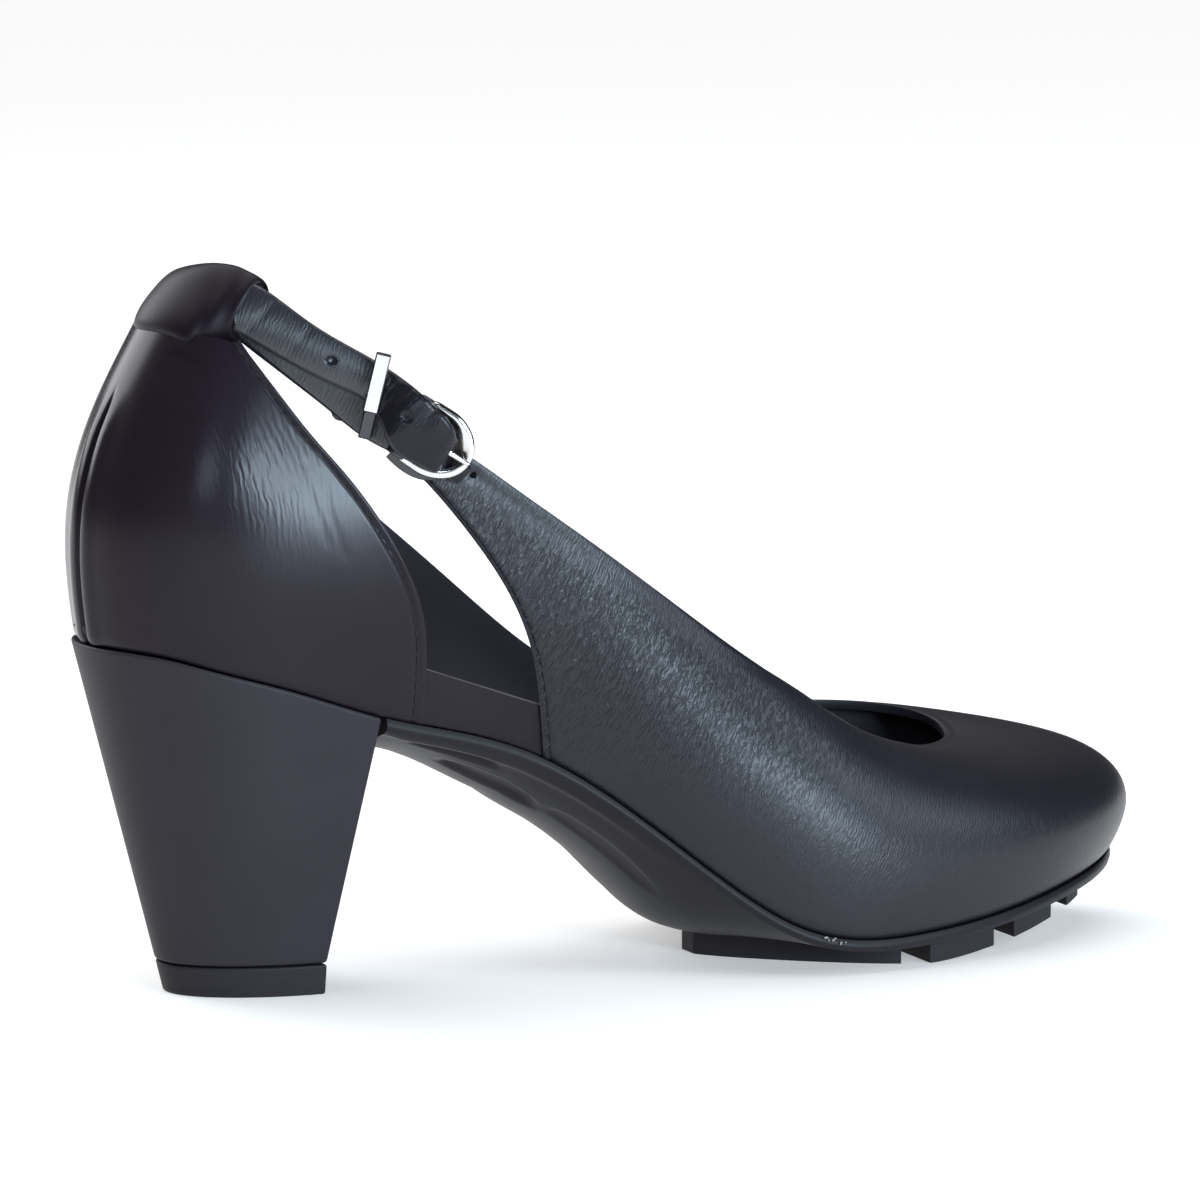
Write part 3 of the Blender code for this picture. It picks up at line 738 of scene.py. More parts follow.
@dataclass(frozen=True)
class LeatherFinish:
    """Leather with a grain of ridges that follow the piece's own grain attribute."""

    name: str
    dark: Colour
    light: Colour
    smoothest: float
    roughest: float
    ridge_length: float
    ridge_width: float
    ridge_height: float
    coat: float
    turn_deg: float
    gloss: float = 0.2
    sway: float = 0.7
    coat_roughness: float = 0.3
    drift_scale: float = 0.6
    band_scale: float = 0.314
    band_bend: float = 4.5
    band_fineness: float = 3.0
    break_low: float = 0.32
    break_high: float = 0.56
    break_floor: float = 0.1
    pore_scale: float = 2600.0
    pore_height: float = 0.08
    cloud_scale: float = 42.0

    def ridges(self, nodes: Nodes) -> bpy.types.NodeSocket:
        """Rows of ridges that sway and break off.

        Args:
            nodes: The material's nodes.

        Returns:
            Height of the ridges, from 0 to 1.
        """
        grain = nodes.add("ShaderNodeAttribute", attribute_name="grain").outputs["Vector"]
        swing = {"Vector": grain, "Scale": self.drift_scale, "Detail": 1.0}
        drift = nodes.add("ShaderNodeTexNoise", swing).outputs["Color"]
        reach = {0: drift, 1: (self.sway,) * 3, 2: grain}
        swayed = nodes.add("ShaderNodeVectorMath", reach, operation="MULTIPLY_ADD").outputs[0]
        size = {
            "Vector": swayed,
            "Rotation": (0, math.radians(self.turn_deg), 0),
            "Scale": (self.ridge_width, self.ridge_length, self.ridge_length),
        }
        along = nodes.add("ShaderNodeMapping", size, vector_type="TEXTURE").outputs[0]
        wavy = {
            "Vector": along,
            "Scale": self.band_scale,
            "Distortion": self.band_bend,
            "Detail": 1.0,
            "Detail Scale": self.band_fineness,
        }
        bands = nodes.add("ShaderNodeTexWave", wavy, wave_type="BANDS", bands_direction="X")
        span = {
            "Value": nodes.noise(along, 1.0, 1.0),
            "From Min": self.break_low,
            "From Max": self.break_high,
            "To Min": self.break_floor,
        }
        breaks = nodes.add("ShaderNodeMapRange", span).outputs["Result"]
        return nodes.math("MULTIPLY", bands.outputs["Fac"], breaks)

    def make(self) -> bpy.types.Material:
        """Material of this leather."""
        nodes = Nodes(self.name)
        place = nodes.place()
        depth = nodes.add("ShaderNodeAttribute", attribute_name="depth").outputs["Fac"]
        tall = nodes.math("MULTIPLY", self.ridges(nodes), depth)
        pores = nodes.noise(place, self.pore_scale, 2.0)
        height = nodes.math("ADD", tall, nodes.math("MULTIPLY", pores, self.pore_height))
        distance = self.ridge_height * MM
        bump = nodes.add("ShaderNodeBump", {"Strength": 1.0, "Distance": distance, "Height": height})
        cloud = nodes.noise(place, self.cloud_scale, 4.0)
        return nodes.dress(
            Base_Color=nodes.blend(cloud, self.dark, self.light),
            Roughness=nodes.between(cloud, self.smoothest, self.roughest),
            Normal=bump.outputs["Normal"],
            Coat_Weight=self.coat,
            Coat_Roughness=self.coat_roughness,
            Specular_IOR_Level=self.gloss,
        )


@dataclass(frozen=True)
class PlainFinish:
    """Rubber, lining, thread or metal with a fine even texture."""

    name: str
    dark: Colour
    light: Colour
    smoothest: float
    roughest: float
    speck: float = 0.6
    speck_height: float = 0.02
    metallic: float = 0.0
    gloss: float = 0.2
    cloud_scale: float = 55.0

    def make(self) -> bpy.types.Material:
        """Material of this finish."""
        nodes = Nodes(self.name)
        place = nodes.place()
        specks = nodes.noise(place, 1000.0 / self.speck, 3.0)
        cloud = nodes.noise(place, self.cloud_scale, 4.0)
        distance = self.speck_height * MM
        bump = nodes.add("ShaderNodeBump", {"Strength": 1.0, "Distance": distance, "Height": specks})
        return nodes.dress(
            Base_Color=nodes.blend(cloud, self.dark, self.light),
            Roughness=nodes.between(cloud, self.smoothest, self.roughest),
            Normal=bump.outputs["Normal"],
            Metallic=self.metallic,
            Specular_IOR_Level=self.gloss,
        )


class Finish(Enum):
    """The shoe's finishes."""

    VAMP = LeatherFinish(
        "grained_leather",
        (0.008, 0.007, 0.010),
        (0.014, 0.013, 0.019),
        smoothest=0.34,
        roughest=0.42,
        ridge_length=1.7,
        ridge_width=0.62,
        ridge_height=0.10,
        coat=0.04,
        turn_deg=26.0,
        gloss=0.36,
        sway=1.1,
    )
    QUARTER = LeatherFinish(
        "quarter_leather",
        (0.0115, 0.008, 0.0125),
        (0.017, 0.0125, 0.018),
        smoothest=0.20,
        roughest=0.26,
        ridge_length=4.0,
        ridge_width=1.2,
        ridge_height=0.012,
        coat=0.0,
        turn_deg=-6.0,
        gloss=0.17,
    )
    COLLAR = LeatherFinish(
        "collar_leather",
        (0.008, 0.005, 0.009),
        (0.012, 0.008, 0.013),
        smoothest=0.36,
        roughest=0.46,
        ridge_length=4.0,
        ridge_width=1.2,
        ridge_height=0.02,
        coat=0.0,
        turn_deg=-6.0,
        gloss=0.15,
    )
    # Darker, less glossy copy of the strap leather: painted shade on the tail past the keeper, where it
    # bends into the frame, and on the keeper loop's rounded edges.
    SHADED_STRAP = LeatherFinish(
        "strap_leather_painted_shade",
        (0.008, 0.007, 0.010),
        (0.013, 0.012, 0.017),
        smoothest=0.25,
        roughest=0.33,
        ridge_length=2.6,
        ridge_width=0.8,
        ridge_height=0.03,
        coat=0.0,
        turn_deg=-10.0,
        gloss=0.26,
    )
    STRAP = LeatherFinish(
        "strap_leather",
        (0.010, 0.010, 0.014),
        (0.017, 0.017, 0.024),
        smoothest=0.29,
        roughest=0.37,
        ridge_length=2.6,
        ridge_width=0.8,
        ridge_height=0.02,
        coat=0.06,
        turn_deg=-10.0,
        gloss=0.85,
    )
    HEEL = PlainFinish("heel_leather", (0.019, 0.016, 0.021), (0.027, 0.023, 0.029), 0.46, 0.56, 0.9, 0.03)
    # Lighter finish for the tail's lower cut edge: a painted highlight where the edge's rim catches light.
    EDGE_HIGHLIGHT = PlainFinish("cut_edge_painted_highlight", (0.03, 0.028, 0.034), (0.06, 0.056, 0.064), 0.35, 0.5, 0.4, 0.03)
    LINING = PlainFinish("lining", (0.038, 0.034, 0.041), (0.058, 0.053, 0.063), 0.62, 0.78, 0.5, 0.02)
    RAW_EDGE = PlainFinish("raw_edge", (0.075, 0.070, 0.068), (0.14, 0.13, 0.125), 0.6, 0.8, 0.4, 0.05)
    SOLE = PlainFinish("sole_rubber", (0.009, 0.008, 0.010), (0.015, 0.013, 0.016), 0.38, 0.5, 0.7, 0.02)
    TREAD = PlainFinish("tread_rubber", (0.015, 0.013, 0.016), (0.025, 0.022, 0.026), 0.5, 0.66, 0.5, 0.05)
    SOCK = PlainFinish("sock", (0.014, 0.012, 0.015), (0.022, 0.019, 0.023), 0.6, 0.75, 0.8, 0.04)
    THREAD = PlainFinish("thread", (0.012, 0.011, 0.014), (0.022, 0.021, 0.025), 0.5, 0.65, 0.12, 0.05)
    NICKEL = PlainFinish("nickel", (0.68, 0.67, 0.66), (0.80, 0.79, 0.78), 0.10, 0.2, 1.5, 0.004, 1.0)
    SHADED_NICKEL = PlainFinish(
        "shaded_nickel", (0.18, 0.14, 0.12), (0.28, 0.23, 0.20), 0.3, 0.42, 1.0, 0.01, 1.0
    )
    # Darker nickel: a painted dark reflection on the frame's outer sides and on the keeper plate's rounded
    # rim.
    NICKEL_DARK_REFLECTION = PlainFinish(
        "nickel_painted_dark_reflection", (0.05, 0.045, 0.05), (0.09, 0.08, 0.085), 0.3, 0.42, 1.0, 0.01, 1.0
    )
    # Near-black disc at the bottom of the ear's punched hole: painted shade inside the hole.
    HOLE_SHADE = PlainFinish(
        "hole_painted_shade", (0.002, 0.002, 0.003), (0.004, 0.004, 0.005), 0.8, 0.9, gloss=0.05
    )
    FLAKE = PlainFinish("dry_flake", (0.22, 0.21, 0.20), (0.34, 0.33, 0.32), 0.7, 0.85, 0.3, 0.05)


class Wardrobe:
    """Keeps one material for each finish."""

    def __init__(self) -> None:
        """Start with no material."""
        self.kept: dict[Finish, bpy.types.Material] = {}

    def get(self, *finishes: Finish) -> list[bpy.types.Material]:
        """Materials of the finishes, made when first asked for."""
        for finish in finishes:
            if finish not in self.kept:
                self.kept[finish] = finish.value.make()
        return [self.kept[finish] for finish in finishes]


@dataclass
class Panel:
    """One leather panel of the upper, on the last's wall.

    The place function gives places round the foot from shares along the panel and places up the
    wall. Its grain is measured from the datum, a place round the foot.
    """

    name: str
    place: Callable[[Array, Array], Array]
    columns: int
    rows: int
    datum: float
    fine: int = 240

    def spread(self, s: Array, t: Array) -> None:
        """Lay the panel's grid out evenly up the wall and keep its measures.

        Args:
            s: Shares along the columns.
            t: Shares up the rows.
        """
        steps = np.linspace(0, 1, self.fine)
        fine_s, fine_v = np.meshgrid(s[0], steps)
        lengths = arc_lengths(LAST.wall(self.place(fine_s, fine_v), fine_v), 0)
        shares = lengths / lengths[-1]
        self.v = np.stack([np.interp(t[:, 0], shares[:, i], steps) for i in range(s.shape[1])], 1)
        self.u = self.place(s, self.v)
        self.base = LAST.wall(self.u, self.v)
        self.normals = LAST.normal(self.u, self.v)
        along, up = arc_lengths(self.base, 1), arc_lengths(self.base, 0)
        zero = [np.interp(self.datum, self.u[j], along[j]) for j in range(len(along))]
        self.from_datum = along - np.array(zero)[:, None]
        self.from_start, self.from_end = along, along[:, -1:] - along
        self.from_foot, self.from_top = up, up[-1:] - up

    def form(
        self, relief: Callable[["Panel"], Array], depth: Callable[["Panel"], Array]
    ) -> Callable[[Array, Array], Patch]:
        """Function that bends the panel's grid.

        Args:
            relief: How far the leather stands off the last's wall.
            depth: How strong its grain is.

        Returns:
            The bending function.
        """

        def bent(s: Array, t: Array) -> Patch:
            """Grid on the wall with its relief and grain."""
            self.spread(s, t)
            self.points = self.base + self.normals * relief(self)[..., None]
            return Patch(self.points, self.base, depth(self))

        return bent

    def seam(self, distance: float, at_end: bool) -> tuple[Array, Array]:
        """Line beside one of the panel's cut edges.

        Args:
            distance: How far it lies from the edge.
            at_end: Whether it is the panel's end or its start.

        Returns:
            Points of the line from the foot up, and the directions out of the wall there.
        """
        away = self.from_end[:, ::-1] if at_end else self.from_start
        points = self.points[:, ::-1] if at_end else self.points
        normals = self.normals[:, ::-1] if at_end else self.normals
        line, facing = [], []
        for j in range(len(away)):
            line.append([np.interp(distance, away[j], points[j, :, k]) for k in range(3)])
            facing.append([np.interp(distance, away[j], normals[j, :, k]) for k in range(3)])
        return np.array(line), unit(np.array(facing))


@dataclass
class Stitching:
    """A run of lockstitches along a line."""

    pitch: float = 2.6
    length: float = 2.0
    thickness: float = 0.4
    sides: int = 8
    rings: int = 5

    def sew(self, shape: bmesh.types.BMesh, line: Array, facing: Array) -> None:
        """Add the stitches of one line.

        Args:
            shape: Mesh that takes them.
            line: Points of the line in millimetres.
            facing: Directions out of the leather at those points.
        """
        lengths = arc_lengths(line, 0)
        count = max(int(lengths[-1] / self.pitch), 1)
        for middle in (np.arange(count) + 0.5) * lengths[-1] / count:
            at = [np.interp(middle, lengths, line[:, k]) for k in range(3)]
            ahead = [np.interp(middle + 0.5, lengths, line[:, k]) for k in range(3)]
            out = unit(np.array([np.interp(middle, lengths, facing[:, k]) for k in range(3)]))
            run = unit(np.array(ahead) - at)
            side = unit(np.cross(out, run))
            thick = self.thickness / 2
            axes = (run * self.length / 2, side * thick, out * thick)
            add_bead(shape, at, axes, self.sides, self.rings)


@dataclass
class Upper:
    """Quarters, vamp and bridge of the upper, with their seams."""

    wardrobe: Wardrobe
    dresser: Dresser
    wall: float = 1.7
    rounding: float = 0.55
    quarter_cells: tuple[int, int] = (300, 92)
    vamp_cells: tuple[int, int] = (400, 76)
    seam_ridges: tuple[Ridge, ...] = (Ridge(2.6, 2.4, 0.45), Ridge(0.0, 0.55, -1.0))
    seam_fade: Zone = Zone(108.0, 11.0)
    seam_at: float = 34.2
    seam_columns: float = 0.13
    seam_near: tuple[float, float] = (0.0525, 0.084)
    inner_seam: float = 25.6
    inner_seam_lean: float = 0.9
    crease_pitch: float = 1.6
    crease_height: float = 0.012
    crease_lean: float = 0.2
    crease_sway: float = 0.9
    crease_sway_pitch: float = 4.3
    crease_middle: Spot = Spot(25.0, 104.0)
    crease_reach: Spot = Spot(12.0, 15.0)
    grain_middle: Spot = Spot(26.0, 103.0)
    grain_reach: Spot = Spot(15.0, 19.0)
    grain_side: Zone = Zone(0.4, 1.5)
    grain_toe: Zone = Zone(118.0, 55.0)
    grain_low: Zone = Zone(26.0, 34.0)
    grain_rim: Zone = Zone(2.0, 8.0)
    hole_at: Spot = Spot(69.1, 101.2)
    hole_dent: float = 0.35
    hole_width: float = 0.8
    hole_disc: tuple[float, float] = (0.95, 0.16)
    hole_lift: float = 0.05
    bridge_recess: float = 1.0
    bridge_bow: float = 0.2
    bridge_ease: float = 9.0
    bridge_wall: float = 0.9
    bridge_rounding: float = 0.2
    bridge_ends: tuple[float, float] = (58.6, 87.0)

    def inner_join(self, v: Array) -> Array:
        """Where the vamp ends on the inner side."""
        return self.inner_seam + self.inner_seam_lean * (1 - v)

    def build(self) -> None:
        """Make every panel and sew it."""
        self.counter_edge = LAST.edge(smooth_line(COUNTER_EDGE, 160))
        ear = np.linspace(VAMP_EDGE[-1], EAR_TOP, 30)[1:]
        self.vamp_edge = LAST.edge(np.vstack((smooth_line(VAMP_EDGE, 140), ear)))
        self.quarters = Panel("quarters", self.place_quarters, *self.quarter_cells, self.seam_at)
        self.vamp = Panel("vamp", self.place_vamp, *self.vamp_cells, LAST.tip)
        self.build_panel(self.quarters, self.quarter_relief, self.quarter_depth, Finish.QUARTER)
        self.build_panel(self.vamp, self.vamp_relief, self.vamp_depth, Finish.VAMP)
        self.build_bridge()
        self.build_stitches()

    def build_panel(
        self,
        panel: Panel,
        relief: Callable[[Panel], Array],
        depth: Callable[[Panel], Array],
        finish: Finish,
    ) -> None:
        """Make one panel with its lining.

        Args:
            panel: The panel.
            relief: How far its leather stands off the last's wall.
            depth: How strong its grain is.
            finish: Finish of its outer face.
        """
        shape = bmesh.new()
        weave_grid(shape, panel.columns, panel.rows, panel.form(relief, depth))
        piece = link(panel.name, shape, self.wardrobe.get(finish, Finish.LINING))
        Modifiers(self.wall, self.rounding).apply(piece)
        self.dresser.hand_over(piece, "upper_leather", "upper")

    def quarter_relief(self, panel: Panel) -> Array:
        """Back seam, hem and soft creases of the quarters."""
        x, z = panel.base[..., 0], panel.base[..., 2]
        fade = 1 - ramp(z, self.seam_fade)
        relief = fade * ridge_height(np.abs(panel.from_datum), self.seam_ridges)
        relief += ridge_height(panel.from_end, QUARTER_HEM)
        relief += ridge_height(panel.from_foot, QUARTER_FOOT)
        outer = smooth((panel.u - LAST.count) * 2)
        for crease in QUARTER_CREASES:
            away = distance_to_line(x, z, crease.line)
            relief += outer * crease.height * bell(away, crease.width)
        sway = self.crease_sway * np.sin(z / self.crease_sway_pitch)
        along = x + self.crease_lean * (z - 100) + sway
        wave = np.sin(along * 2 * math.pi / self.crease_pitch)
        zone = oval(x, z, self.crease_middle, self.crease_reach)
        return relief + outer * self.crease_height * wave * zone

    def place_quarters(self, s: Array, v: Array) -> Array:
        """Inner quarter in the first half of the columns and outer quarter in the second."""
        start, end = self.inner_join(v), self.counter_edge(v) + LAST.count
        seam, close = self.seam_at, self.seam_columns
        near_inner, near_outer = self.seam_near
        inner = np.interp(s, (0.0, 0.5 - close, 0.5), (0.0, 1.0 - near_inner, 1.0))
        outer = np.interp(s, (0.5, 0.5 + close, 1.0), (0.0, near_outer, 1.0))
        return np.where(s <= 0.5, start + inner * (seam - start), seam + outer * (end - seam))

    def place_vamp(self, s: Array, v: Array) -> Array:
        """From the cut-out round the toe to the inner side."""
        start = self.vamp_edge(v)
        return start + s * (self.inner_join(v) - start)

    def quarter_depth(self, panel: Panel) -> Array:
        """Grain of the quarters, stronger in the middle of the outer side."""
        x, z = panel.base[..., 0], panel.base[..., 2]
        outer = ramp(panel.u - LAST.count, self.grain_side)
        return 0.2 + 0.8 * outer * oval(x, z, self.grain_middle, self.grain_reach)

    def vamp_relief(self, panel: Panel) -> Array:
        """Rolled edges, stitch grooves and the dent of the ear's hole."""
        relief = ridge_height(panel.from_start, VAMP_HEM) + ridge_height(panel.from_top, VAMP_TOP)
        relief += ridge_height(panel.from_foot, VAMP_FOOT) + ridge_height(panel.from_end, VAMP_END)
        x, y, z = np.moveaxis(panel.base, -1, 0)
        away = np.hypot(x - self.hole_at.x, z - self.hole_at.z)
        return relief - (y < 0) * self.hole_dent * bell(away, self.hole_width)

    def vamp_depth(self, panel: Panel) -> Array:
        """Grain of the vamp, strong towards the ear and fine at the toe."""
        toe = ramp(panel.base[..., 0], self.grain_toe)
        low = ramp(panel.base[..., 2], self.grain_low)
        rim = 0.3 + 0.7 * ramp(panel.from_top, self.grain_rim)
        return rim * (0.12 + (1 - toe) * (0.25 + 0.75 * low) + 0.1 * toe)

    def build_bridge(self) -> None:
        """Low strip under the cut-out, set back behind its neighbours."""
        low, high = self.bridge_ends
        left, right = BRIDGE_TOP

        def form(s: Array, t: Array) -> Patch:
            """Grid from the feather line to the strip's raw top edge."""
            x = low + s[0] * (high - low)
            z = left.z + (x - left.x) * (right.z - left.z) / (right.x - left.x)
            u, top, _ = LAST.locate(x, z)
            u, v = np.broadcast_to(u, s.shape), t * top
            base, normals = LAST.wall(u, v), LAST.normal(u, v)
            ease = np.minimum(s, 1 - s) * (high - low)
            bow = self.bridge_bow * bell(ease - self.bridge_ease, self.bridge_ease)
            points = base - normals * (self.bridge_recess - bow)[..., None]
            return Patch(points, base, np.full(s.shape, 0.3))

        shape = bmesh.new()
        weave_grid(shape, 56, 30, form)
        finishes = self.wardrobe.get(Finish.QUARTER, Finish.LINING, Finish.RAW_EDGE)
        piece = link("bridge", shape, finishes)
        Modifiers(self.bridge_wall, self.bridge_rounding).apply(piece)
        piece.modifiers["wall"].material_offset_rim = 2
        self.dresser.hand_over(piece, "upper_leather", "upper")

    def build_stitches(self) -> None:
        """Stitches along the cut-out's two edges and the inner seam, and the painted-shade disc in the
        ear's hole.
        """
        shape = bmesh.new()
        stitching = Stitching()
        for panel, at_end in ((self.quarters, True), (self.vamp, False), (self.vamp, True)):
            line, facing = panel.seam(STITCH_INSET, at_end)
            stitching.sew(shape, line[1:-1], facing[1:-1])
        self.add_hole_shade(shape)
        piece = link("upper_stitches", shape, self.wardrobe.get(Finish.THREAD, Finish.HOLE_SHADE))
        self.dresser.hand_over(piece, "upper_leather")

    def add_hole_shade(self, shape: bmesh.types.BMesh) -> None:
        """Near-black disc at the bottom of the hole that is punched in the ear: painted shade inside the
        hole.

        Args:
            shape: Mesh that takes it.
        """
        u, v, _ = LAST.locate(np.array([self.hole_at.x]), np.array([self.hole_at.z]))
        out = unit(LAST.normal(u, v))[0]
        side = unit(np.cross(out, (0.0, 0.0, 1.0)))
        wide, tall = self.hole_disc
        axes = (side * wide, np.cross(out, side) * wide, out * tall)
        sunk = LAST.wall(u, v)[0] - out * (self.hole_dent - self.hole_lift)
        for face in add_bead(shape, sunk, axes, 24, 12):
            face.material_index = 1


def buckle_axes() -> Array:
    """Directions along the frame to its round end, across it and off the foot."""
    along = unit(FRAME_APEX - FRAME_BAR)
    level = unit(np.array((along[1], -along[0], 0.0)))
    across = unit(np.cross(level, along))
    return np.stack((along, across, np.cross(along, across)))


def in_buckle(points: Sequence) -> Array:
    """Points given along, across and off the buckle's frame, from the middle of its bar."""
    return FRAME_BAR + np.asarray(points, float) @ buckle_axes()


def band_rows(table: Sequence[Row]) -> Array:
    """Point, direction across and width for each row of a strap's table."""
    points = np.array([row[:3] for row in table])
    along = unit(np.gradient(points, axis=0))
    level = unit(np.stack((along[:, 1], -along[:, 0], np.zeros(len(table))), 1))
    lean = np.radians([[row.lean] for row in table])
    across = np.cross(level, along) * np.cos(lean) - level * np.sin(lean)
    return np.column_stack((points, across, [row.width for row in table]))


@dataclass
class Strap:
    """A flat strap with rounded edges along a smooth line."""

    rows: Array
    thickness: float = 1.5
    edge_radius: float = 0.6
    face_cells: int = 26
    edge_cells: int = 6
    length_cells: int = 150
    grain_gap: float = 9.0

    def profile(self) -> tuple[Array, Array, Array, Array]:
        """Shares of width, edge radius, thickness and edge radius round the cross section."""
        face = np.linspace(1, -1, self.face_cells + 1)
        arc = np.linspace(90, 270, self.edge_cells + 1)[1:-1]
        a = np.concatenate((face, np.full(len(arc), -1.0), -face, np.full(len(arc), 1.0), face[:1]))
        outer, inner = np.full(len(face), 90.0), np.full(len(face), 270.0)
        turn = np.radians(np.concatenate((outer, arc, inner, arc + 180, [450.0])))
        b, d = np.cos(turn), np.sin(turn)
        return a, b, np.sign(np.round(d, 6)), d

    def form(self, relief: Callable[[Array, Array, Array], Array]) -> Callable[[Array, Array], Patch]:
        """Function that bends a grid into the strap.

        Args:
            relief: Height added to the outer face, from length, place across and half width.

        Returns:
            The bending function.
        """

        def bent(s: Array, t: Array) -> Patch:
            """Cross sections along the strap's line."""
            line = smooth_line(self.rows, len(t))
            points, across = line[:, None, :3], line[:, None, 3:6]
            along = unit(np.gradient(line[:, :3], axis=0))[:, None]
            across = unit(across - along * (across * along).sum(-1, keepdims=True))
            off = np.cross(along, across)
            half = line[:, None, 6] / 2
            a, b, c, d = (x[None, :] for x in self.profile())
            r = self.edge_radius
            w = a * (half - r) + b * r
            n = c * (self.thickness / 2 - r) + d * r
            length = np.broadcast_to(arc_lengths(line[:, :3], 0)[:, None], w.shape)
            n = n + np.where(c > 0, relief(length, w, np.broadcast_to(half, w.shape)), 0)
            bent_points = points + across * w[..., None] + off * n[..., None]
            level = np.broadcast_to(self.grain_gap * c, w.shape)
            return Patch(bent_points, np.stack((length, level, w), -1))

        return bent

    def columns(self) -> int:
        """Cells round the cross section."""
        return len(self.profile()[0]) - 1

    def cut_edge(self, s: float) -> int:
        """1 on the strap's lower cut edge, which takes the painted highlight, 0 elsewhere."""
        return int(0 < s * self.columns() - self.face_cells < self.edge_cells)

    def along(self, count: int) -> Array:
        """Points of the strap's middle line."""
        return smooth_line(self.rows, count)[:, :3]


@dataclass
class AnkleStrap:
    """Fixed strap, tail, buckle and keeper."""

    wardrobe: Wardrobe
    dresser: Dresser
    fixed_pad: float = 0.35
    tail_pad: float = 0.55
    hole_edge: Zone = Zone(0.6, 0.5)
    hole_places: tuple[float, float] = (42.8, 54.0)
    hole_depths: tuple[float, float] = (1.15, 0.3)
    crease_lean: float = 0.18
    wrinkle_pitch: float = 1.15
    wrinkle_height: float = 0.02
    wrinkle_lean: float = 0.12
    wrinkle_zone: tuple[float, float] = (13.0, 7.0)
    bar_radius: float = 0.9
    eye_radius: float = 2.2
    eye_half: float = 6.3
    eye_square: float = 0.35
    eye_play: float = 0.1
    slot_half: float = 1.2
    tab_width: float = 2.0
    tab_thick: float = 1.3
    tab_twist: float = 0.15
    lip_gap: float = 0.35
    frame_face: float = 1.65
    frame_depth: float = 2.5
    frame_half_width: float = 6.7
    frame_corner: float = 1.8
    frame_straight: float = 4.2
    frame_slope: float = 1.4
    frame_swell: float = 0.16
    frame_square: float = 0.55
    slope_across: Zone = Zone(-1.5, 2.5)
    slope_along: Zone = Zone(4.0, 2.5)
    prong_width: float = 1.4
    prong_thick: float = 0.95
    prong_play: float = 0.15
    prong_bow: float = 0.25
    prong_taper: float = 0.45
    prong_tip: Zone = Zone(0.75, 0.25)
    keeper_turn: float = 20.0
    keeper_width: float = 2.9
    keeper_half_depth: float = 3.4
    keeper_top: float = 8.6
    keeper_end: float = -2.0
    keeper_low: float = -7.2
    keeper_thick: float = 0.8
    keeper_rounding: float = 0.26

    def build(self) -> None:
        """Make the strap's pieces."""
        self.build_fixed()
        self.build_tail()
        self.build_frame()
        self.build_prong()
        self.build_keeper()

    def build_fixed(self) -> None:
        """Fixed strap, turned round the buckle's bar."""
        strap = Strap(band_rows(FIXED_STRAP), length_cells=190)
        shape = bmesh.new()
        grid = strap.form(lambda length, w, half: self.fixed_pad * (1 - (w / half) ** 2))
        weave_grid(shape, strap.columns(), strap.length_cells, grid, Closing.COLUMNS)
        for side in (-1, 1):
            self.add_eye(shape, side)
        self.add_tabs(shape)
        piece = link("fixed_strap", shape, self.wardrobe.get(Finish.STRAP))
        self.dresser.hand_over(piece, "strap_leather", "ankle_strap")

    def add_eye(self, shape: bmesh.types.BMesh, side: int) -> None:
        """One half of the leather loop round the bar."""

        def form(s: Array, t: Array) -> Patch:
            """Ring of leather from the slot to the strap's edge."""
            angle, turn = s * 2 * math.pi, t * 2 * math.pi
            middle = (self.eye_radius + self.bar_radius) / 2
            thick = (self.eye_radius - self.bar_radius) / 2 - self.eye_play
            low, high = self.slot_half, self.eye_half
            radius = middle + thick * squared(np.sin(turn), self.eye_square)
            wide = (low + high) / 2 + (high - low) / 2 * squared(np.cos(turn), self.eye_square)
            place = np.stack((radius * np.cos(angle), side * wide, radius * np.sin(angle)), -1)
            return Patch(in_buckle(place), np.stack((angle * middle, radius, wide), -1))

        weave_grid(shape, 36, 24, form, Closing.BOTH)

    def add_tabs(self, shape: bmesh.types.BMesh) -> None:
        """Leather lips along the frame's lower side and under the strap's lower edge."""
        across, off = buckle_axes()[1:]
        leaning = unit(across + off * self.tab_twist)
        low = -self.frame_half_width - self.lip_gap
        lip = (
            (-1.0, low + 0.5, -0.4),
            (1.6, low, -0.5),
            (4.6, low, -0.8),
            (7.4, low + 0.9, -1.4),
            (9.2, low + 2.4, -2.2),
        )
        tab = ((-13.9, -5.5, -2.1), (-13.0, -6.0, -2.1), (-12.1, -5.5, -2.1))
        for spots in (lip, tab):
            rows = np.array([(*in_buckle(spot), *leaning, self.tab_width) for spot in spots])
            strip = Strap(rows, self.tab_thick, 0.4, 8, 6, 30)
            flat = strip.form(lambda length, w, half: 0 * w)
            weave_grid(shape, strip.columns(), strip.length_cells, flat, Closing.COLUMNS)

    def build_tail(self) -> None:
        """Free end, from the ear through the frame and back over the fixed strap."""
        across, off = buckle_axes()[1:]
        through = []
        for pull in TAIL_THROUGH:
            facing = unit(across + off * pull.twist)
            through.append((*in_buckle(pull[:3]), *facing, pull.width))
        strap = Strap(np.vstack((band_rows(TAIL), through)), face_cells=30, length_cells=230)
        line = strap.along(400)
        lengths = arc_lengths(line, 0)
        holes = [lengths[np.argmin(np.abs(line[:, 0] - x))] for x in self.hole_places]

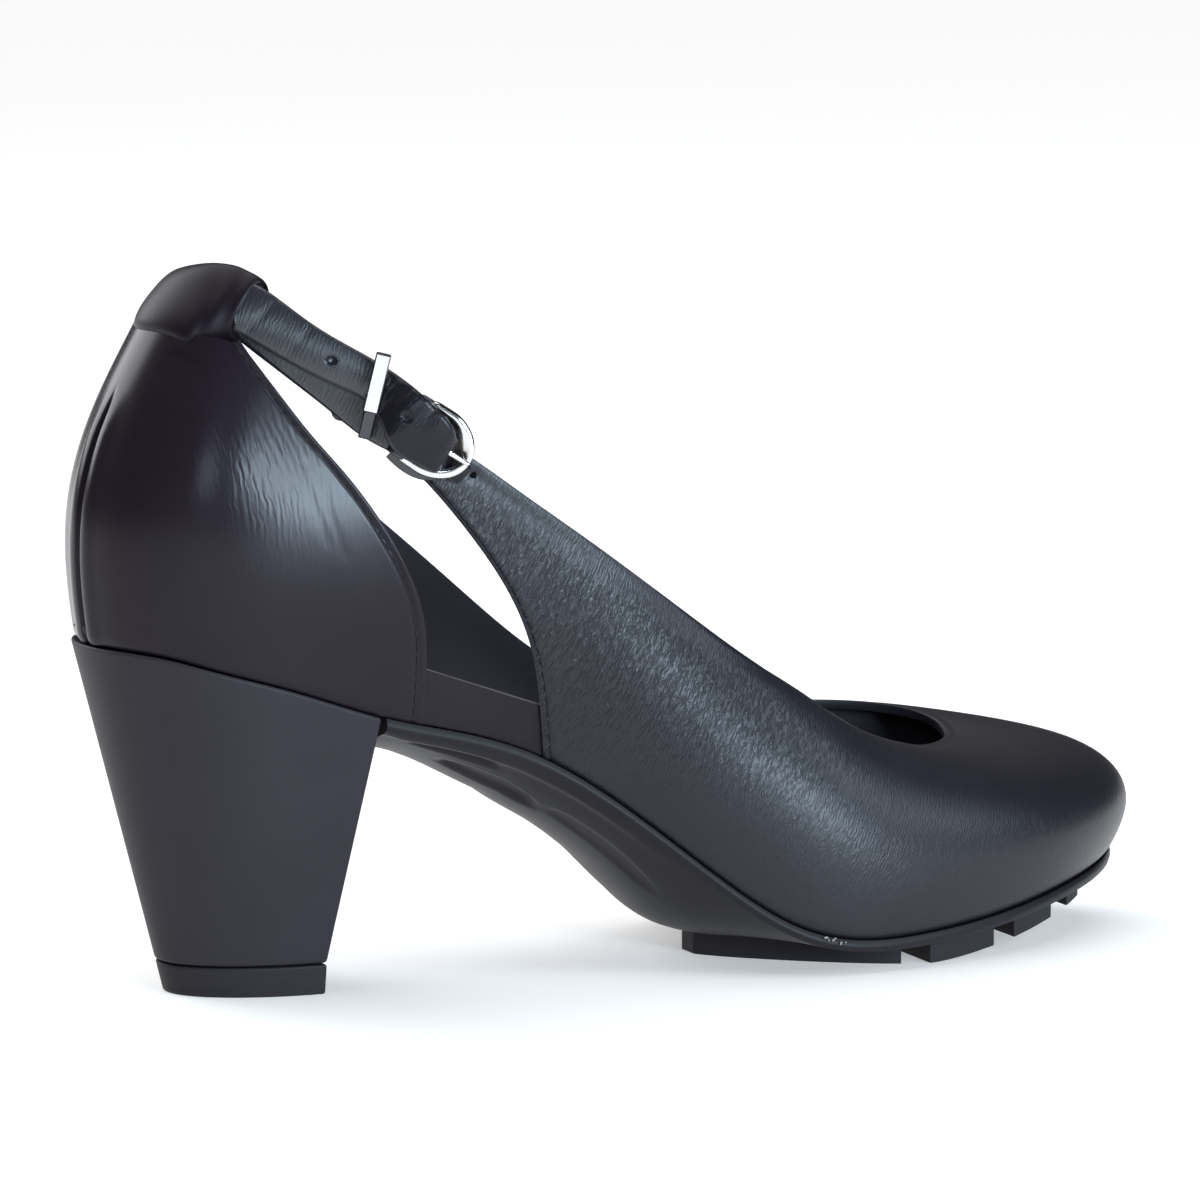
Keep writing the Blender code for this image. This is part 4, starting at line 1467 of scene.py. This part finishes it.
        def relief(length: Array, w: Array, half: Array) -> Array:
            """Padded face, punched holes and a few soft cross creases."""
            high = self.tail_pad * (1 - (w / half) ** 2)
            for at, depth in zip(holes, self.hole_depths):
                high = high - depth * (1 - ramp(np.hypot(length - at, w), self.hole_edge))
            high = high + ridge_height(length - self.crease_lean * w, TAIL_CREASES)
            run = length + self.wrinkle_lean * w + 0.5 * np.sin(0.9 * w)
            fine = np.sin(run * 2 * math.pi / self.wrinkle_pitch)
            middle, reach = self.wrinkle_zone
            return high + self.wrinkle_height * fine * bell(length - middle, reach)

        past = np.argmin(np.linalg.norm(line - KEEPER_AT, axis=1)) / (len(line) - 1)

        def paint(s: float, t: float) -> int:
            """Painted highlight on the lower cut edge, and painted shade on the darker copy of the leather
            past the keeper.
            """
            return strap.cut_edge(s) or 2 * int(t > past)

        shape = bmesh.new()
        bent = strap.form(relief)
        weave_grid(shape, strap.columns(), strap.length_cells, bent, Closing.COLUMNS, paint)
        finishes = self.wardrobe.get(Finish.STRAP, Finish.EDGE_HIGHLIGHT, Finish.SHADED_STRAP)
        piece = link("strap_tail_leather", shape, finishes)
        self.dresser.hand_over(piece, "tail_leather", "strap_tail")

    def frame_path(self) -> Array:
        """Middle line of the frame, along and across: bar, corners, sides and round end."""
        half = self.frame_half_width - self.frame_face / 2
        reach = np.linalg.norm(FRAME_APEX - FRAME_BAR)
        r, straight = self.frame_corner, self.frame_straight
        path = []
        for angle in np.linspace(math.pi, 1.5 * math.pi, 9):
            path.append((r + r * math.cos(angle), -half + r + r * math.sin(angle)))
        for angle in np.linspace(-0.5 * math.pi, 0.5 * math.pi, 41):
            path.append((straight + (reach - straight) * math.cos(angle), half * math.sin(angle)))
        for angle in np.linspace(0.5 * math.pi, math.pi, 9):
            path.append((r + r * math.cos(angle), half - r + r * math.sin(angle)))
        path += [(0.0, w) for w in np.linspace(half - r, -half + r, 12)[1:]]
        return np.array(path)

    def build_frame(self) -> None:
        """Polished frame, with a painted dark reflection on its outer sides and painted shade on its inner
        slope.
        """
        path = self.frame_path()
        run = unit(np.gradient(path, axis=0))
        side = np.stack((run[:, 1], -run[:, 0]), 1)
        on_bar = smooth(1 - path[:, 0] / 1.2)
        sloping = ramp(path[:, 1], self.slope_across) * ramp(path[:, 0], self.slope_along)
        slope = self.frame_slope * sloping

        def paint(s: float, t: float) -> int:
            """Painted dark reflection on the outer side, painted shade on the inner slope, and the bright
            face.
            """
            sloped = 0.3 < s < 0.55 and slope[int(t * (len(path) - 1))] > 0.3
            return 1 if abs(s - 0.5) > 0.4 else 2 * int(sloped)

        def form(s: Array, t: Array) -> Patch:
            """Rounded bar swept round the path."""
            index = np.rint(t * (len(path) - 1)).astype(int)
            angle = s * 2 * math.pi
            c, n = np.cos(angle), np.sin(angle)
            bar = on_bar[index]
            swell = self.frame_swell * smooth(path[index, 0] / self.frame_straight - 0.6)
            broad = self.frame_face / 2 + swell
            face = broad * (1 - bar) + self.bar_radius * bar
            deep = self.frame_depth / 2 * (1 - bar) + self.bar_radius * bar
            square = squared(c, self.frame_square) * (1 - bar) + c * bar
            rise = squared(n, self.frame_square) * (1 - bar) + n * bar
            inner = slope[index] * smooth(-1.4 * c)
            flat = path[index] + side[index] * (face * square - inner)[..., None]
            lowered = deep * rise * (1 - 0.8 * inner / self.frame_slope * (n > 0))
            return Patch(in_buckle(np.concatenate((flat, lowered[..., None]), -1)))

        shape = bmesh.new()
        weave_grid(shape, 32, len(path) - 1, form, Closing.BOTH, paint)
        finishes = self.wardrobe.get(Finish.NICKEL, Finish.NICKEL_DARK_REFLECTION, Finish.SHADED_NICKEL)
        piece = link("frame_metal_ring", shape, finishes)
        self.dresser.hand_over(piece, "frame_metal", "buckle_frame")

    def build_prong(self) -> None:
        """Prong curled round the bar, lying on the frame's round end."""
        ring = self.bar_radius + self.prong_play + self.prong_thick / 2
        reach = np.linalg.norm(FRAME_APEX - FRAME_BAR)
        rest = self.frame_depth / 2 + self.prong_thick / 2
        turn = np.radians(np.linspace(340, 95, 18))
        share = np.linspace(0.3, 1.06, 10)
        curl = ring * np.stack((np.cos(turn), np.sin(turn)), 1)
        straight = np.stack((reach * share, rest + self.prong_bow * np.sin(math.pi * share)), 1)
        line = np.vstack((curl, straight))
        run = unit(np.gradient(line, axis=0))
        up = np.stack((-run[:, 1], run[:, 0]), 1)

        def form(s: Array, t: Array) -> Patch:
            """Oval bar that narrows to its tip."""
            index = np.rint(t * (len(line) - 1)).astype(int)
            angle = s * 2 * math.pi
            slim = 1 - self.prong_taper * ramp(t, self.prong_tip)
            high = self.prong_thick / 2 * np.sin(angle) * slim
            middle = line[index] + up[index] * high[..., None]
            wide = self.prong_width / 2 * np.cos(angle) * slim
            return Patch(in_buckle(np.stack((middle[..., 0], wide, middle[..., 1]), -1)))

        shape = bmesh.new()
        weave_grid(shape, 16, len(line) - 1, form, Closing.COLUMNS)
        piece = link("prong_metal_bar", shape, self.wardrobe.get(Finish.NICKEL))
        self.dresser.hand_over(piece, "prong_metal", "buckle_prong")

    def keeper_axes(self) -> Array:
        """Directions of the keeper: along the strap, across it and off the foot."""
        along, across, off = buckle_axes()
        turn = math.radians(self.keeper_turn)
        run = along * math.cos(turn) + across * math.sin(turn)
        return np.stack((run, across * math.cos(turn) - along * math.sin(turn), off))

    def build_keeper(self) -> None:
        """Bright plate over the tail, and the dark loop that carries it round the fixed strap."""
        deep, top, end, low = self.keeper_half_depth, self.keeper_top, self.keeper_end, self.keeper_low
        plate = ((top, deep - 2.2), (top, deep), (end, deep), (end, deep - 1.0))
        loop = (
            (top - 0.5, deep - 0.9),
            (top - 0.5, -deep),
            (low, -deep),
            (low, deep - 1.4),
            (end, deep - 0.9),
        )
        metal, leather = (Finish.NICKEL, Finish.NICKEL_DARK_REFLECTION), (Finish.STRAP, Finish.SHADED_STRAP)
        wide, narrow = self.keeper_width, self.keeper_width - 0.5
        for name, path, finishes, width, slot, nodes in (
            ("keeper_plate", plate, metal, wide, "keeper_metal", ("strap_keeper",)),
            ("keeper_loop", loop, leather, narrow, "strap_leather", ()),
        ):
            shape = bmesh.new()
            self.sweep_plate(shape, np.array(path), width)
            piece = link(name, shape, self.wardrobe.get(*finishes))
            Modifiers(rounding=self.keeper_rounding).apply(piece)
            # The rounded edges take the second finish: a painted dark reflection on the plate, painted
            # shade on the loop.
            piece.modifiers["rounding"].material = 1
            self.dresser.hand_over(piece, slot, *nodes)

    def sweep_plate(self, shape: bmesh.types.BMesh, path: Array, width: float) -> None:
        """Flat bar bent along a path given across the strap and off the foot.

        Args:
            shape: Mesh that takes it.
            path: Corners of its middle line.
            width: Width along the strap.
        """
        steps = unit(np.diff(path, axis=0))
        before, after = np.vstack((steps[:1], steps)), np.vstack((steps, steps[-1:]))
        run = unit(before + after)
        side = np.stack((-run[:, 1], run[:, 0]), 1)
        mitre = 1 / np.maximum((before * run).sum(1), 0.5)
        axes = self.keeper_axes()
        corners = np.array(((-1, -1), (1, -1), (1, 1), (-1, 1), (-1, -1)))

        def form(s: Array, t: Array) -> Patch:
            """Square section at each corner of the path."""
            i = np.rint(t * (len(path) - 1)).astype(int)
            j = np.rint(s * 4).astype(int)
            half = self.keeper_thick / 2 * mitre[i]
            flat = path[i] + side[i] * (corners[j, 1] * half)[..., None]
            place = np.stack((corners[j, 0] * width / 2, flat[..., 0], flat[..., 1]), -1)
            return Patch(KEEPER_AT + place @ axes)

        weave_grid(shape, 4, len(path) - 1, form, Closing.COLUMNS)


@dataclass
class Collar:
    """Folded leather tunnel round the top of the back, with its inner lip at the mouth."""

    wardrobe: Wardrobe
    dresser: Dresser
    half_depth: float = 2.9
    half_height: float = 6.5
    hang: float = 2.2
    outer_hang: float = 3.0
    mouth_shear: float = 0.2
    outer_hang_at: tuple[float, float] = (0.74, 0.15)
    mouth_lift: float = 2.8
    mouth: Zone = Zone(0.84, 0.16)
    mouth_pull: Zone = Zone(0.3, 0.2)
    wrinkle_height: float = 0.12
    wrinkle_pace: float = 46.0
    wrinkle_slant: float = 2.2
    wrinkle_at: tuple[float, float] = (0.86, 0.12)
    section: tuple[float, float] = (0.85, 0.9)
    turn_in: float = 0.024
    probe: float = 0.01
    cells: tuple[int, int] = (56, 148)
    wall: float = 1.0
    inner_reach: float = 2.2
    outer_pull: float = 1.0
    lip_inset: float = 0.7
    lip_pull: float = -0.2
    lip_reach: float = 1.2

    def build(self) -> None:
        """Make the tunnel and its lip."""
        for name, inset, pull, reach, nodes in (
            ("collar_tunnel", 0.0, self.outer_pull, self.inner_reach, ("collar_loop",)),
            ("collar_lip", self.lip_inset, self.lip_pull, self.lip_reach, ()),
        ):
            shape = bmesh.new()
            weave_grid(shape, *self.cells, self.form(inset, pull, reach), Closing.BOTH)
            piece = link(name, shape, self.wardrobe.get(Finish.COLLAR))
            self.dresser.hand_over(piece, "collar_leather", *nodes)

    def form(self, inset: float, pull: float, reach: float) -> Callable[[Array, Array], Patch]:
        """Function that bends a grid into a hollow tunnel.

        Args:
            inset: How much smaller its section is.
            pull: How far the outer side of the mouths is pulled back.
            reach: How far the inner side of the mouths stands out.

        Returns:
            The bending function.
        """

        rows = band_rows(TUNNEL)

        def line_at(share: Array) -> Array:
            """Rows of the tunnel's table at shares of its length."""
            return open_spline(rows, np.clip(share, 0, 1) * (len(rows) - 1))

        def bent(s: Array, t: Array) -> Patch:
            """Outer face in the first half of the rows, inner face on the way back."""
            inside = smooth((0.25 - np.abs(t - 0.5)) / self.turn_in + 0.5)
            share = np.abs(((2 * t + 0.5) % 2) - 1)
            line = line_at(share)
            points, across = line[..., :3], line[..., 3:6]
            along = unit((line_at(share + self.probe) - line_at(share - self.probe))[..., :3])
            across = unit(across - along * (across * along).sum(-1, keepdims=True))
            off = np.cross(along, across)
            angle = s * 2 * math.pi
            c, n = np.cos(angle), np.sin(angle)
            thin = inset + self.wall * inside
            high = self.half_height - thin
            middle, reached = self.outer_hang_at
            sag = self.hang + self.outer_hang * bell(share - middle, reached)
            low = self.half_height + sag - self.mouth_lift * ramp(share, self.mouth) - thin
            w = squared(c, self.section[0]) * np.where(c > 0, high, low)
            d = squared(n, self.section[1]) * (self.half_depth - thin)
            ends = np.sign(share - 0.5) * ramp(np.abs(share - 0.5), self.mouth_pull)
            lean = smooth((n + 1) / 2)
            shift = ends * (reach * (1 - lean) - pull * lean - self.mouth_shear * w)
            middle, reached = self.wrinkle_at
            wave = np.sin(share * self.wrinkle_pace + c * self.wrinkle_slant) * (n > 0)
            wrinkle = self.wrinkle_height * wave * bell(share - middle, reached)
            place = points + across * w[..., None] + off * (d + wrinkle)[..., None]
            place = place + along * shift[..., None]
            grain = np.stack((share * 60, d, angle * 5), -1)
            return Patch(place, grain, np.full(s.shape, 0.35))

        return bent


@dataclass
class Sole:
    """Outsole with its arch, tread blocks and rim, and the insole over it."""

    wardrobe: Wardrobe
    dresser: Dresser
    gap: float = 0.15
    rim_out: float = 0.15
    rim_thick: float = 2.3
    keel_round: float = 2.2
    breast: float = 5.06
    toe: float = 16.97
    tread_inset: float = 3.2
    tread_back: float = 125.6
    tread_tip: float = 124.5
    tread_full: float = 165.0
    tread_flare: float = 0.65
    tread_front: float = 210.5
    tread_sink: float = 0.8
    spring_start: float = 167.0
    spring_rise: float = 7.0
    groove: float = 5.6
    grooves: tuple[float, ...] = (163.0, 185.3, 202.6)
    tread_cells: int = 21
    tread_spring: float = 1.5
    insole_thick: float = 2.6
    insole_inset: float = 1.9
    insole_ends: tuple[float, float] = (0.08, 16.82)
    cup_height: float = 0.9
    cup_fade: Zone = Zone(20.0, 45.0)
    pad_height: float = 0.5
    pad_middle: Spot = Spot(27.0, 0.0)
    pad_reach: Spot = Spot(19.0, 0.7)
    rim_swell: float = 0.5
    bead: float = 0.7
    bead_at: tuple[float, float] = (0.95, 0.045)
    arch_start: Zone = Zone(50.0, 8.0)
    arch_end: Zone = Zone(96.0, 22.0)
    scoop_edge: float = 1.3
    scoops: tuple[tuple[float, float, float, float, float], ...] = (
        (69.0, 10.0, 0.84, 0.07, 1.0),
        (78.5, 11.0, 0.55, 0.13, 1.3),
        (101.0, 12.0, 0.6, 0.1, 0.5),
    )
    flakes: tuple[tuple[float, float, float, float], ...] = (
        (10.52, 0.95, -0.35, 0.5),
        (10.56, 1.0, -0.7, 0.3),
        (10.62, 1.0, -0.5, 0.42),
        (10.65, 0.95, -0.1, 0.28),
        (10.72, 1.05, -0.9, 0.45),
        (10.79, 1.0, -0.6, 0.25),
    )

    def build(self) -> None:
        """Make the sole's pieces."""
        self.build_outsole()
        self.build_tread()
        self.build_insole()
        self.build_flakes()

    @staticmethod
    def keel(x: Array) -> Array:
        """Height of the sole's lowest line."""
        rows = np.interp(x, [spot.x for spot in KEEL], range(len(KEEL)))
        return open_spline([(spot.z,) for spot in KEEL], rows)[..., 0]

    def rung(self, stations: Array, share: Array, out: float) -> Array:
        """Points across the foot between the two sides of the feather line, share from -1 to 1."""
        t = ((share + 1) / 2)[..., None]
        return LAST.feather(stations, out, -1) * (1 - t) + LAST.feather(stations, out, 1) * t

    def build_outsole(self) -> None:
        """Arch and rim as one loft of closed cross sections."""
        bottom, top, side = 120, 12, 6

        def form(s: Array, t: Array) -> Patch:
            """Underside, inner rim, top and outer rim of each cross section."""
            cell = s * (bottom + top + 2 * side)
            under = np.clip(cell / bottom, 0, 1)
            over = np.clip((cell - bottom - side) / top, 0, 1)
            share = np.where(cell <= bottom + side, 2 * under - 1, 1 - 2 * over)
            last = cell > bottom + top + side
            up = np.clip((cell - bottom) / side, 0, 1) * np.where(last, 0, 1)
            up = up + np.clip(1 - (cell - bottom - top - side) / side, 0, 1) * last
            stations = self.breast + t * (self.toe - self.breast)
            points = self.rung(stations, share, self.rim_out)
            edge = points[:, :1, 2] - self.gap - self.rim_thick
            low = np.minimum(self.keel(points[:, :1, 0]), edge)
            depth = (edge - low) * (1 - np.abs(share) ** self.keel_round)
            beneath = edge - depth + self.moulding(points[..., 0], share)
            points[..., 2] = beneath * (1 - up) + (points[..., 2] - self.gap) * up
            swell = self.rim_swell * np.sin(math.pi * up)
            out = np.where(share < 0, -1, 1)[..., None] * np.array((0, 1, 0))
            return Patch(points + out * swell[..., None])

        shape = bmesh.new()
        weave_grid(shape, bottom + top + 2 * side, 170, form, Closing.COLUMNS)
        piece = link("outsole_mould", shape, self.wardrobe.get(Finish.SOLE))
        Modifiers(rounding=0.4, sharp_deg=62).apply(piece)
        self.dresser.hand_over(piece, "sole_rubber", "outsole")

    def moulding(self, x: Array, share: Array) -> Array:
        """Bead along the arch's edges, and hollows that the mould leaves on its sides."""
        side = np.abs(share)
        arch = ramp(x, self.arch_start) * (1 - ramp(x, self.arch_end))
        at, width = self.bead_at
        relief = -self.bead * arch * bell(side - at, width)
        for middle, reach, centre, half, deep in self.scoops:
            lens = half * np.sqrt(np.maximum(1 - ((x - middle) / reach) ** 2, 1e-3))
            across = smooth(1 - ((side - centre) / lens) ** 2 / self.scoop_edge)
            relief = relief + deep * across * smooth((1 - np.abs(x - middle) / reach) * 3)
        return relief

    def build_tread(self) -> None:
        """Forefoot pad, parted by its cross grooves."""
        cuts = (self.tread_back, *self.grooves, self.tread_front)
        shape = bmesh.new()
        for k, (low, high) in enumerate(zip(cuts[:-1], cuts[1:])):
            start = low + (self.groove / 2 if k else 0)
            stop = high - (self.groove / 2 if k < len(self.grooves) else 0)
            cells = max(8, int((stop - start) / 1.6))
            columns = 2 * self.tread_cells + 2
            weave_grid(shape, columns, cells, self.block(start, stop), Closing.COLUMNS)
        piece = link("tread_blocks", shape, self.wardrobe.get(Finish.TREAD))
        Modifiers(rounding=0.55, sharp_deg=40).apply(piece)
        self.dresser.hand_over(piece, "sole_rubber", "outsole")

    def block(self, start: float, stop: float) -> Callable[[Array, Array], Patch]:
        """Function that bends a grid into one block of the pad.

        Args:
            start: Place along the shoe where it starts.
            stop: Place where it ends.

        Returns:
            The bending function.
        """
        half, columns = self.tread_cells / 2, 2 * self.tread_cells + 2

        def form(s: Array, t: Array) -> Patch:
            """Underside in the first half of the columns, top on the way back."""
            x = start + t * (stop - start)
            stations = np.interp(x, [row.x for row in SECTIONS], range(len(SECTIONS)))
            cell = np.rint(s * columns) % columns
            under = cell <= self.tread_cells
            share = np.where(under, cell / half - 1, 1 - (cell - self.tread_cells - 1) / half)
            points = self.rung(stations, share, -self.tread_inset)
            middle = self.rung(stations, np.zeros_like(share), -self.tread_inset)
            reach = np.clip((x - self.tread_tip) / (self.tread_full - self.tread_tip), 0, 1)
            points = middle + (points - middle) * (reach**self.tread_flare)[..., None]
            ahead = np.maximum(x - self.spring_start, 0) / (self.tread_front - self.spring_start)
            floor = self.spring_rise * ahead**self.tread_spring
            points[..., 2] = np.where(under, floor, self.keel(x) + self.tread_sink)
            return Patch(points)

        return form

    def build_insole(self) -> None:
        """Sock over the insole board, a little cupped at the heel."""

        def form(s: Array, t: Array) -> Patch:
            """Grid over the whole foot."""
            back, front = self.insole_ends
            stations = back + t * (front - back)
            share = s * 2 - 1
            points = self.rung(stations, share, -self.insole_inset)
            cup = self.cup_height * (1 - ramp(points[..., 0], self.cup_fade)) * np.abs(share) ** 3
            pad = self.pad_height * oval(points[..., 0], share, self.pad_middle, self.pad_reach)
            points[..., 2] += self.insole_thick + cup + pad
            return Patch(points)

        shape = bmesh.new()
        weave_grid(shape, 36, 130, form)
        piece = link("sock_lining", shape, self.wardrobe.get(Finish.SOCK))
        turn_up(piece)
        Modifiers(self.insole_thick - 0.1, 0.5).apply(piece)
        piece.modifiers["wall"].material_offset = 0
        self.dresser.hand_over(piece, "insole_leather", "insole")

    def build_flakes(self) -> None:
        """A few dry flakes of glue on the rim."""
        shape = bmesh.new()
        for k, (station, out, rise, size) in enumerate(self.flakes):
            at = LAST.feather(np.array(station), out, -1) + (0, 0, rise)
            spot = Matrix.Translation(Vector((at - ORIGIN) * MM))
            flat = Matrix.Diagonal((1.0, 0.4, 0.55, 1.0))
            turn = Matrix.Rotation(1.3 * k, 4, "Y")
            bmesh.ops.create_icosphere(shape, subdivisions=1, radius=size * MM, matrix=spot @ turn @ flat)
        piece = link("rim_flakes", shape, self.wardrobe.get(Finish.FLAKE))
        self.dresser.hand_over(piece, "sole_rubber")


def turn_up(piece: bpy.types.Object) -> None:
    """Turn an open sheet's faces upwards."""
    shape = bmesh.new()
    shape.from_mesh(piece.data)
    turned = [face for face in shape.faces if face.normal.z < 0]
    bmesh.ops.reverse_faces(shape, faces=turned)
    shape.to_mesh(piece.data)
    shape.free()


@dataclass
class Heel:
    """Covered block heel and its rubber top piece."""

    wardrobe: Wardrobe
    dresser: Dresser
    out: float = 0.7
    stations: float = 5.0
    tip_back: float = 16.0
    tip_breast: float = 44.8
    tip_half: float = 15.8
    lift: float = 6.0
    taper: float = 1.0
    gap: float = 0.25
    hollow: float = 1.2
    side_cells: int = 60
    breast_cells: int = 20

    def build(self) -> None:
        """Make the block and the top piece."""
        columns = 2 * self.side_cells + self.breast_cells
        for name, rows, form, finish, rounding, slot, node in (
            ("heel_cover", 60, self.block_form, Finish.HEEL, 0.8, "heel_leather", "heel_block"),
            ("top_piece", 12, self.lift_form, Finish.TREAD, 0.9, "top_piece_rubber", "heel_top_piece"),
        ):
            shape = bmesh.new()
            weave_grid(shape, columns, rows, form, Closing.COLUMNS)
            piece = link(name, shape, self.wardrobe.get(finish))
            Modifiers(rounding=rounding, segments=4, sharp_deg=45).apply(piece)
            self.dresser.hand_over(piece, slot, node)

    def walk(self, s: Array) -> tuple[Array, Array, Array]:
        """Way round the heel.

        Args:
            s: Shares of the columns.

        Returns:
            Stations, sides and how far across the breast each is.
        """
        cell = s * (2 * self.side_cells + self.breast_cells)
        station = self.stations * np.minimum(np.abs(cell / self.side_cells - 1), 1)
        breast = np.clip((cell - 2 * self.side_cells) / self.breast_cells, 0, 1)
        return station, np.where(cell <= self.side_cells, -1.0, 1.0), breast

    def seat(self, s: Array) -> Array:
        """Outline of the heel's top under the upper."""
        station, side, breast = self.walk(s)
        outer, inner = (LAST.feather(station, self.out, way) for way in (-1, 1))
        points = np.where((side < 0)[..., None], outer, inner)
        corner = LAST.feather(np.full(s.shape, self.stations), self.out, -1)
        points = points * (1 - breast[..., None]) + corner * breast[..., None]
        return points - (0, 0, self.gap)

    def tip(self, s: Array, height: Array) -> Array:
        """Outline of the heel's tip at a height within the lift."""
        station, side, breast = self.walk(s)
        shrink = self.taper * (1 - height / self.lift)
        angle = station / self.stations * math.pi / 2
        x = self.tip_breast - (self.tip_breast - self.tip_back - 1.5 * shrink) * np.cos(angle)
        y = side * (self.tip_half - shrink) * np.sin(angle) * (1 - 2 * breast)
        return np.stack((x, y, np.broadcast_to(height, s.shape)), -1)

    def block_form(self, s: Array, t: Array) -> Patch:
        """Loft from the tip to the seat, a little hollow at the breast."""
        tip = self.tip(s, np.full(s.shape, self.lift + self.gap))
        seat = self.seat(s)
        points = tip + (seat - tip) * t[..., None]
        breast = self.walk(s)[2]
        deep = np.maximum(np.sin(math.pi * t), 0) ** 0.5
        points[..., 0] -= self.hollow * np.sin(math.pi * breast) * deep
        return Patch(points)

    def lift_form(self, s: Array, t: Array) -> Patch:
        """Top piece from the floor up."""
        return Patch(self.tip(s, t * self.lift))


@dataclass
class Studio:
    """Floor, light and camera."""

    lens_px: float = 7126.0
    image_px: float = 1200.0
    sensor: float = 36.0
    azimuth: float = -24.0
    elevation: float = 8.0
    distance: float = 1.4
    target: tuple[float, float, float] = (109.1, 0.0, 71.0)
    floor_size: float = 14.0
    floor_colour: tuple[float, float, float, float] = (0.8, 0.8, 0.8, 1.0)
    floor_glow: float = 0.35
    sky_power: float = 2.4
    sky_angle: float = 80.0
    sky_from: tuple[float, float, float] = (-0.12, 0.25, 1.0)
    world_turn: float = 0.75
    world_near: float = 0.07
    world_far: float = 1.5

    def build(self) -> None:
        """Set the stage."""
        self.build_camera()
        self.build_floor()
        self.build_world()
        for window in WINDOWS:
            self.add_window(window)
        self.add_sky()
        bpy.context.scene.view_settings.view_transform = "Standard"

    def build_camera(self) -> None:
        """Camera at the photograph's viewing angle."""
        a, e = math.radians(self.azimuth), math.radians(self.elevation)
        back = Vector((math.sin(a) * math.cos(e), -math.cos(a) * math.cos(e), math.sin(e)))
        camera = bpy.data.objects.new("camera", bpy.data.cameras.new("camera"))
        camera.data.sensor_width = self.sensor
        camera.data.lens = self.lens_px / self.image_px * self.sensor
        camera.data.clip_end = 50.0
        camera.location = Vector((np.array(self.target) - ORIGIN) * MM) + back * self.distance
        camera.rotation_euler = back.to_track_quat("Z", "Y").to_euler()
        bpy.context.scene.collection.objects.link(camera)
        bpy.context.scene.camera = camera

    def build_floor(self) -> None:
        """Plain pale floor."""
        shape = bmesh.new()
        bmesh.ops.create_grid(shape, x_segments=2, y_segments=2, size=self.floor_size / 2)
        nodes = Nodes("floor_paint")
        finish = nodes.dress(
            Base_Color=self.floor_colour,
            Roughness=0.9,
            Emission_Color=(1, 1, 1, 1),
            Emission_Strength=self.floor_glow,
        )
        floor = link("floor", shape, [finish])

    def build_world(self) -> None:
        """Pale light from all round, weaker from the viewer's side."""
        world = bpy.data.worlds.new("studio")
        world.use_nodes = True
        tree = world.node_tree
        shader = tree.nodes["Background"]
        place = tree.nodes.new("ShaderNodeTexCoord")
        parts = tree.nodes.new("ShaderNodeSeparateXYZ")
        growth = tree.nodes.new("ShaderNodeMapRange")
        growth.inputs["From Max"].default_value = self.world_turn
        growth.inputs["To Min"].default_value = self.world_near
        growth.inputs["To Max"].default_value = self.world_far
        tree.links.new(place.outputs["Generated"], parts.inputs[0])
        tree.links.new(parts.outputs["Y"], growth.inputs["Value"])
        tree.links.new(growth.outputs["Result"], shader.inputs["Strength"])
        bpy.context.scene.world = world

    def add_sky(self) -> None:
        """Wide even light from above, the same all over the floor."""
        light = bpy.data.lights.new("overhead", "SUN")
        light.energy = self.sky_power
        light.angle = math.radians(self.sky_angle)
        lamp = bpy.data.objects.new("overhead", light)
        lamp.rotation_euler = Vector(self.sky_from).to_track_quat("Z", "Y").to_euler()
        bpy.context.scene.collection.objects.link(lamp)

    @staticmethod
    def add_window(window: Window) -> None:
        """Add one soft light that points at the shoe."""
        light = bpy.data.lights.new(window.name, "AREA")
        light.shape = "RECTANGLE"
        light.size, light.size_y = window.size
        light.energy = window.power
        light.color = window.colour
        lamp = bpy.data.objects.new(window.name, light)
        lamp.location = window.place
        roll = Quaternion((0, 0, 1), math.radians(window.roll))
        lamp.rotation_euler = (Vector(window.place).to_track_quat("Z", "Y") @ roll).to_euler()
        bpy.context.scene.collection.objects.link(lamp)


def main() -> None:
    """Dress the shoe and set the stage."""
    logging.basicConfig(level=logging.INFO, format="%(name)s: %(message)s")
    for piece in list(bpy.data.objects):
        if piece.type in ("CAMERA", "LIGHT"):
            bpy.data.objects.remove(piece)
    Studio().build()
    wardrobe, dresser = Wardrobe(), Dresser()
    Upper(wardrobe, dresser).build()
    Collar(wardrobe, dresser).build()
    AnkleStrap(wardrobe, dresser).build()
    Sole(wardrobe, dresser).build()
    Heel(wardrobe, dresser).build()
    LOG.info("%d pieces dressed", dresser.made)


if __name__ == "__main__":
    main()
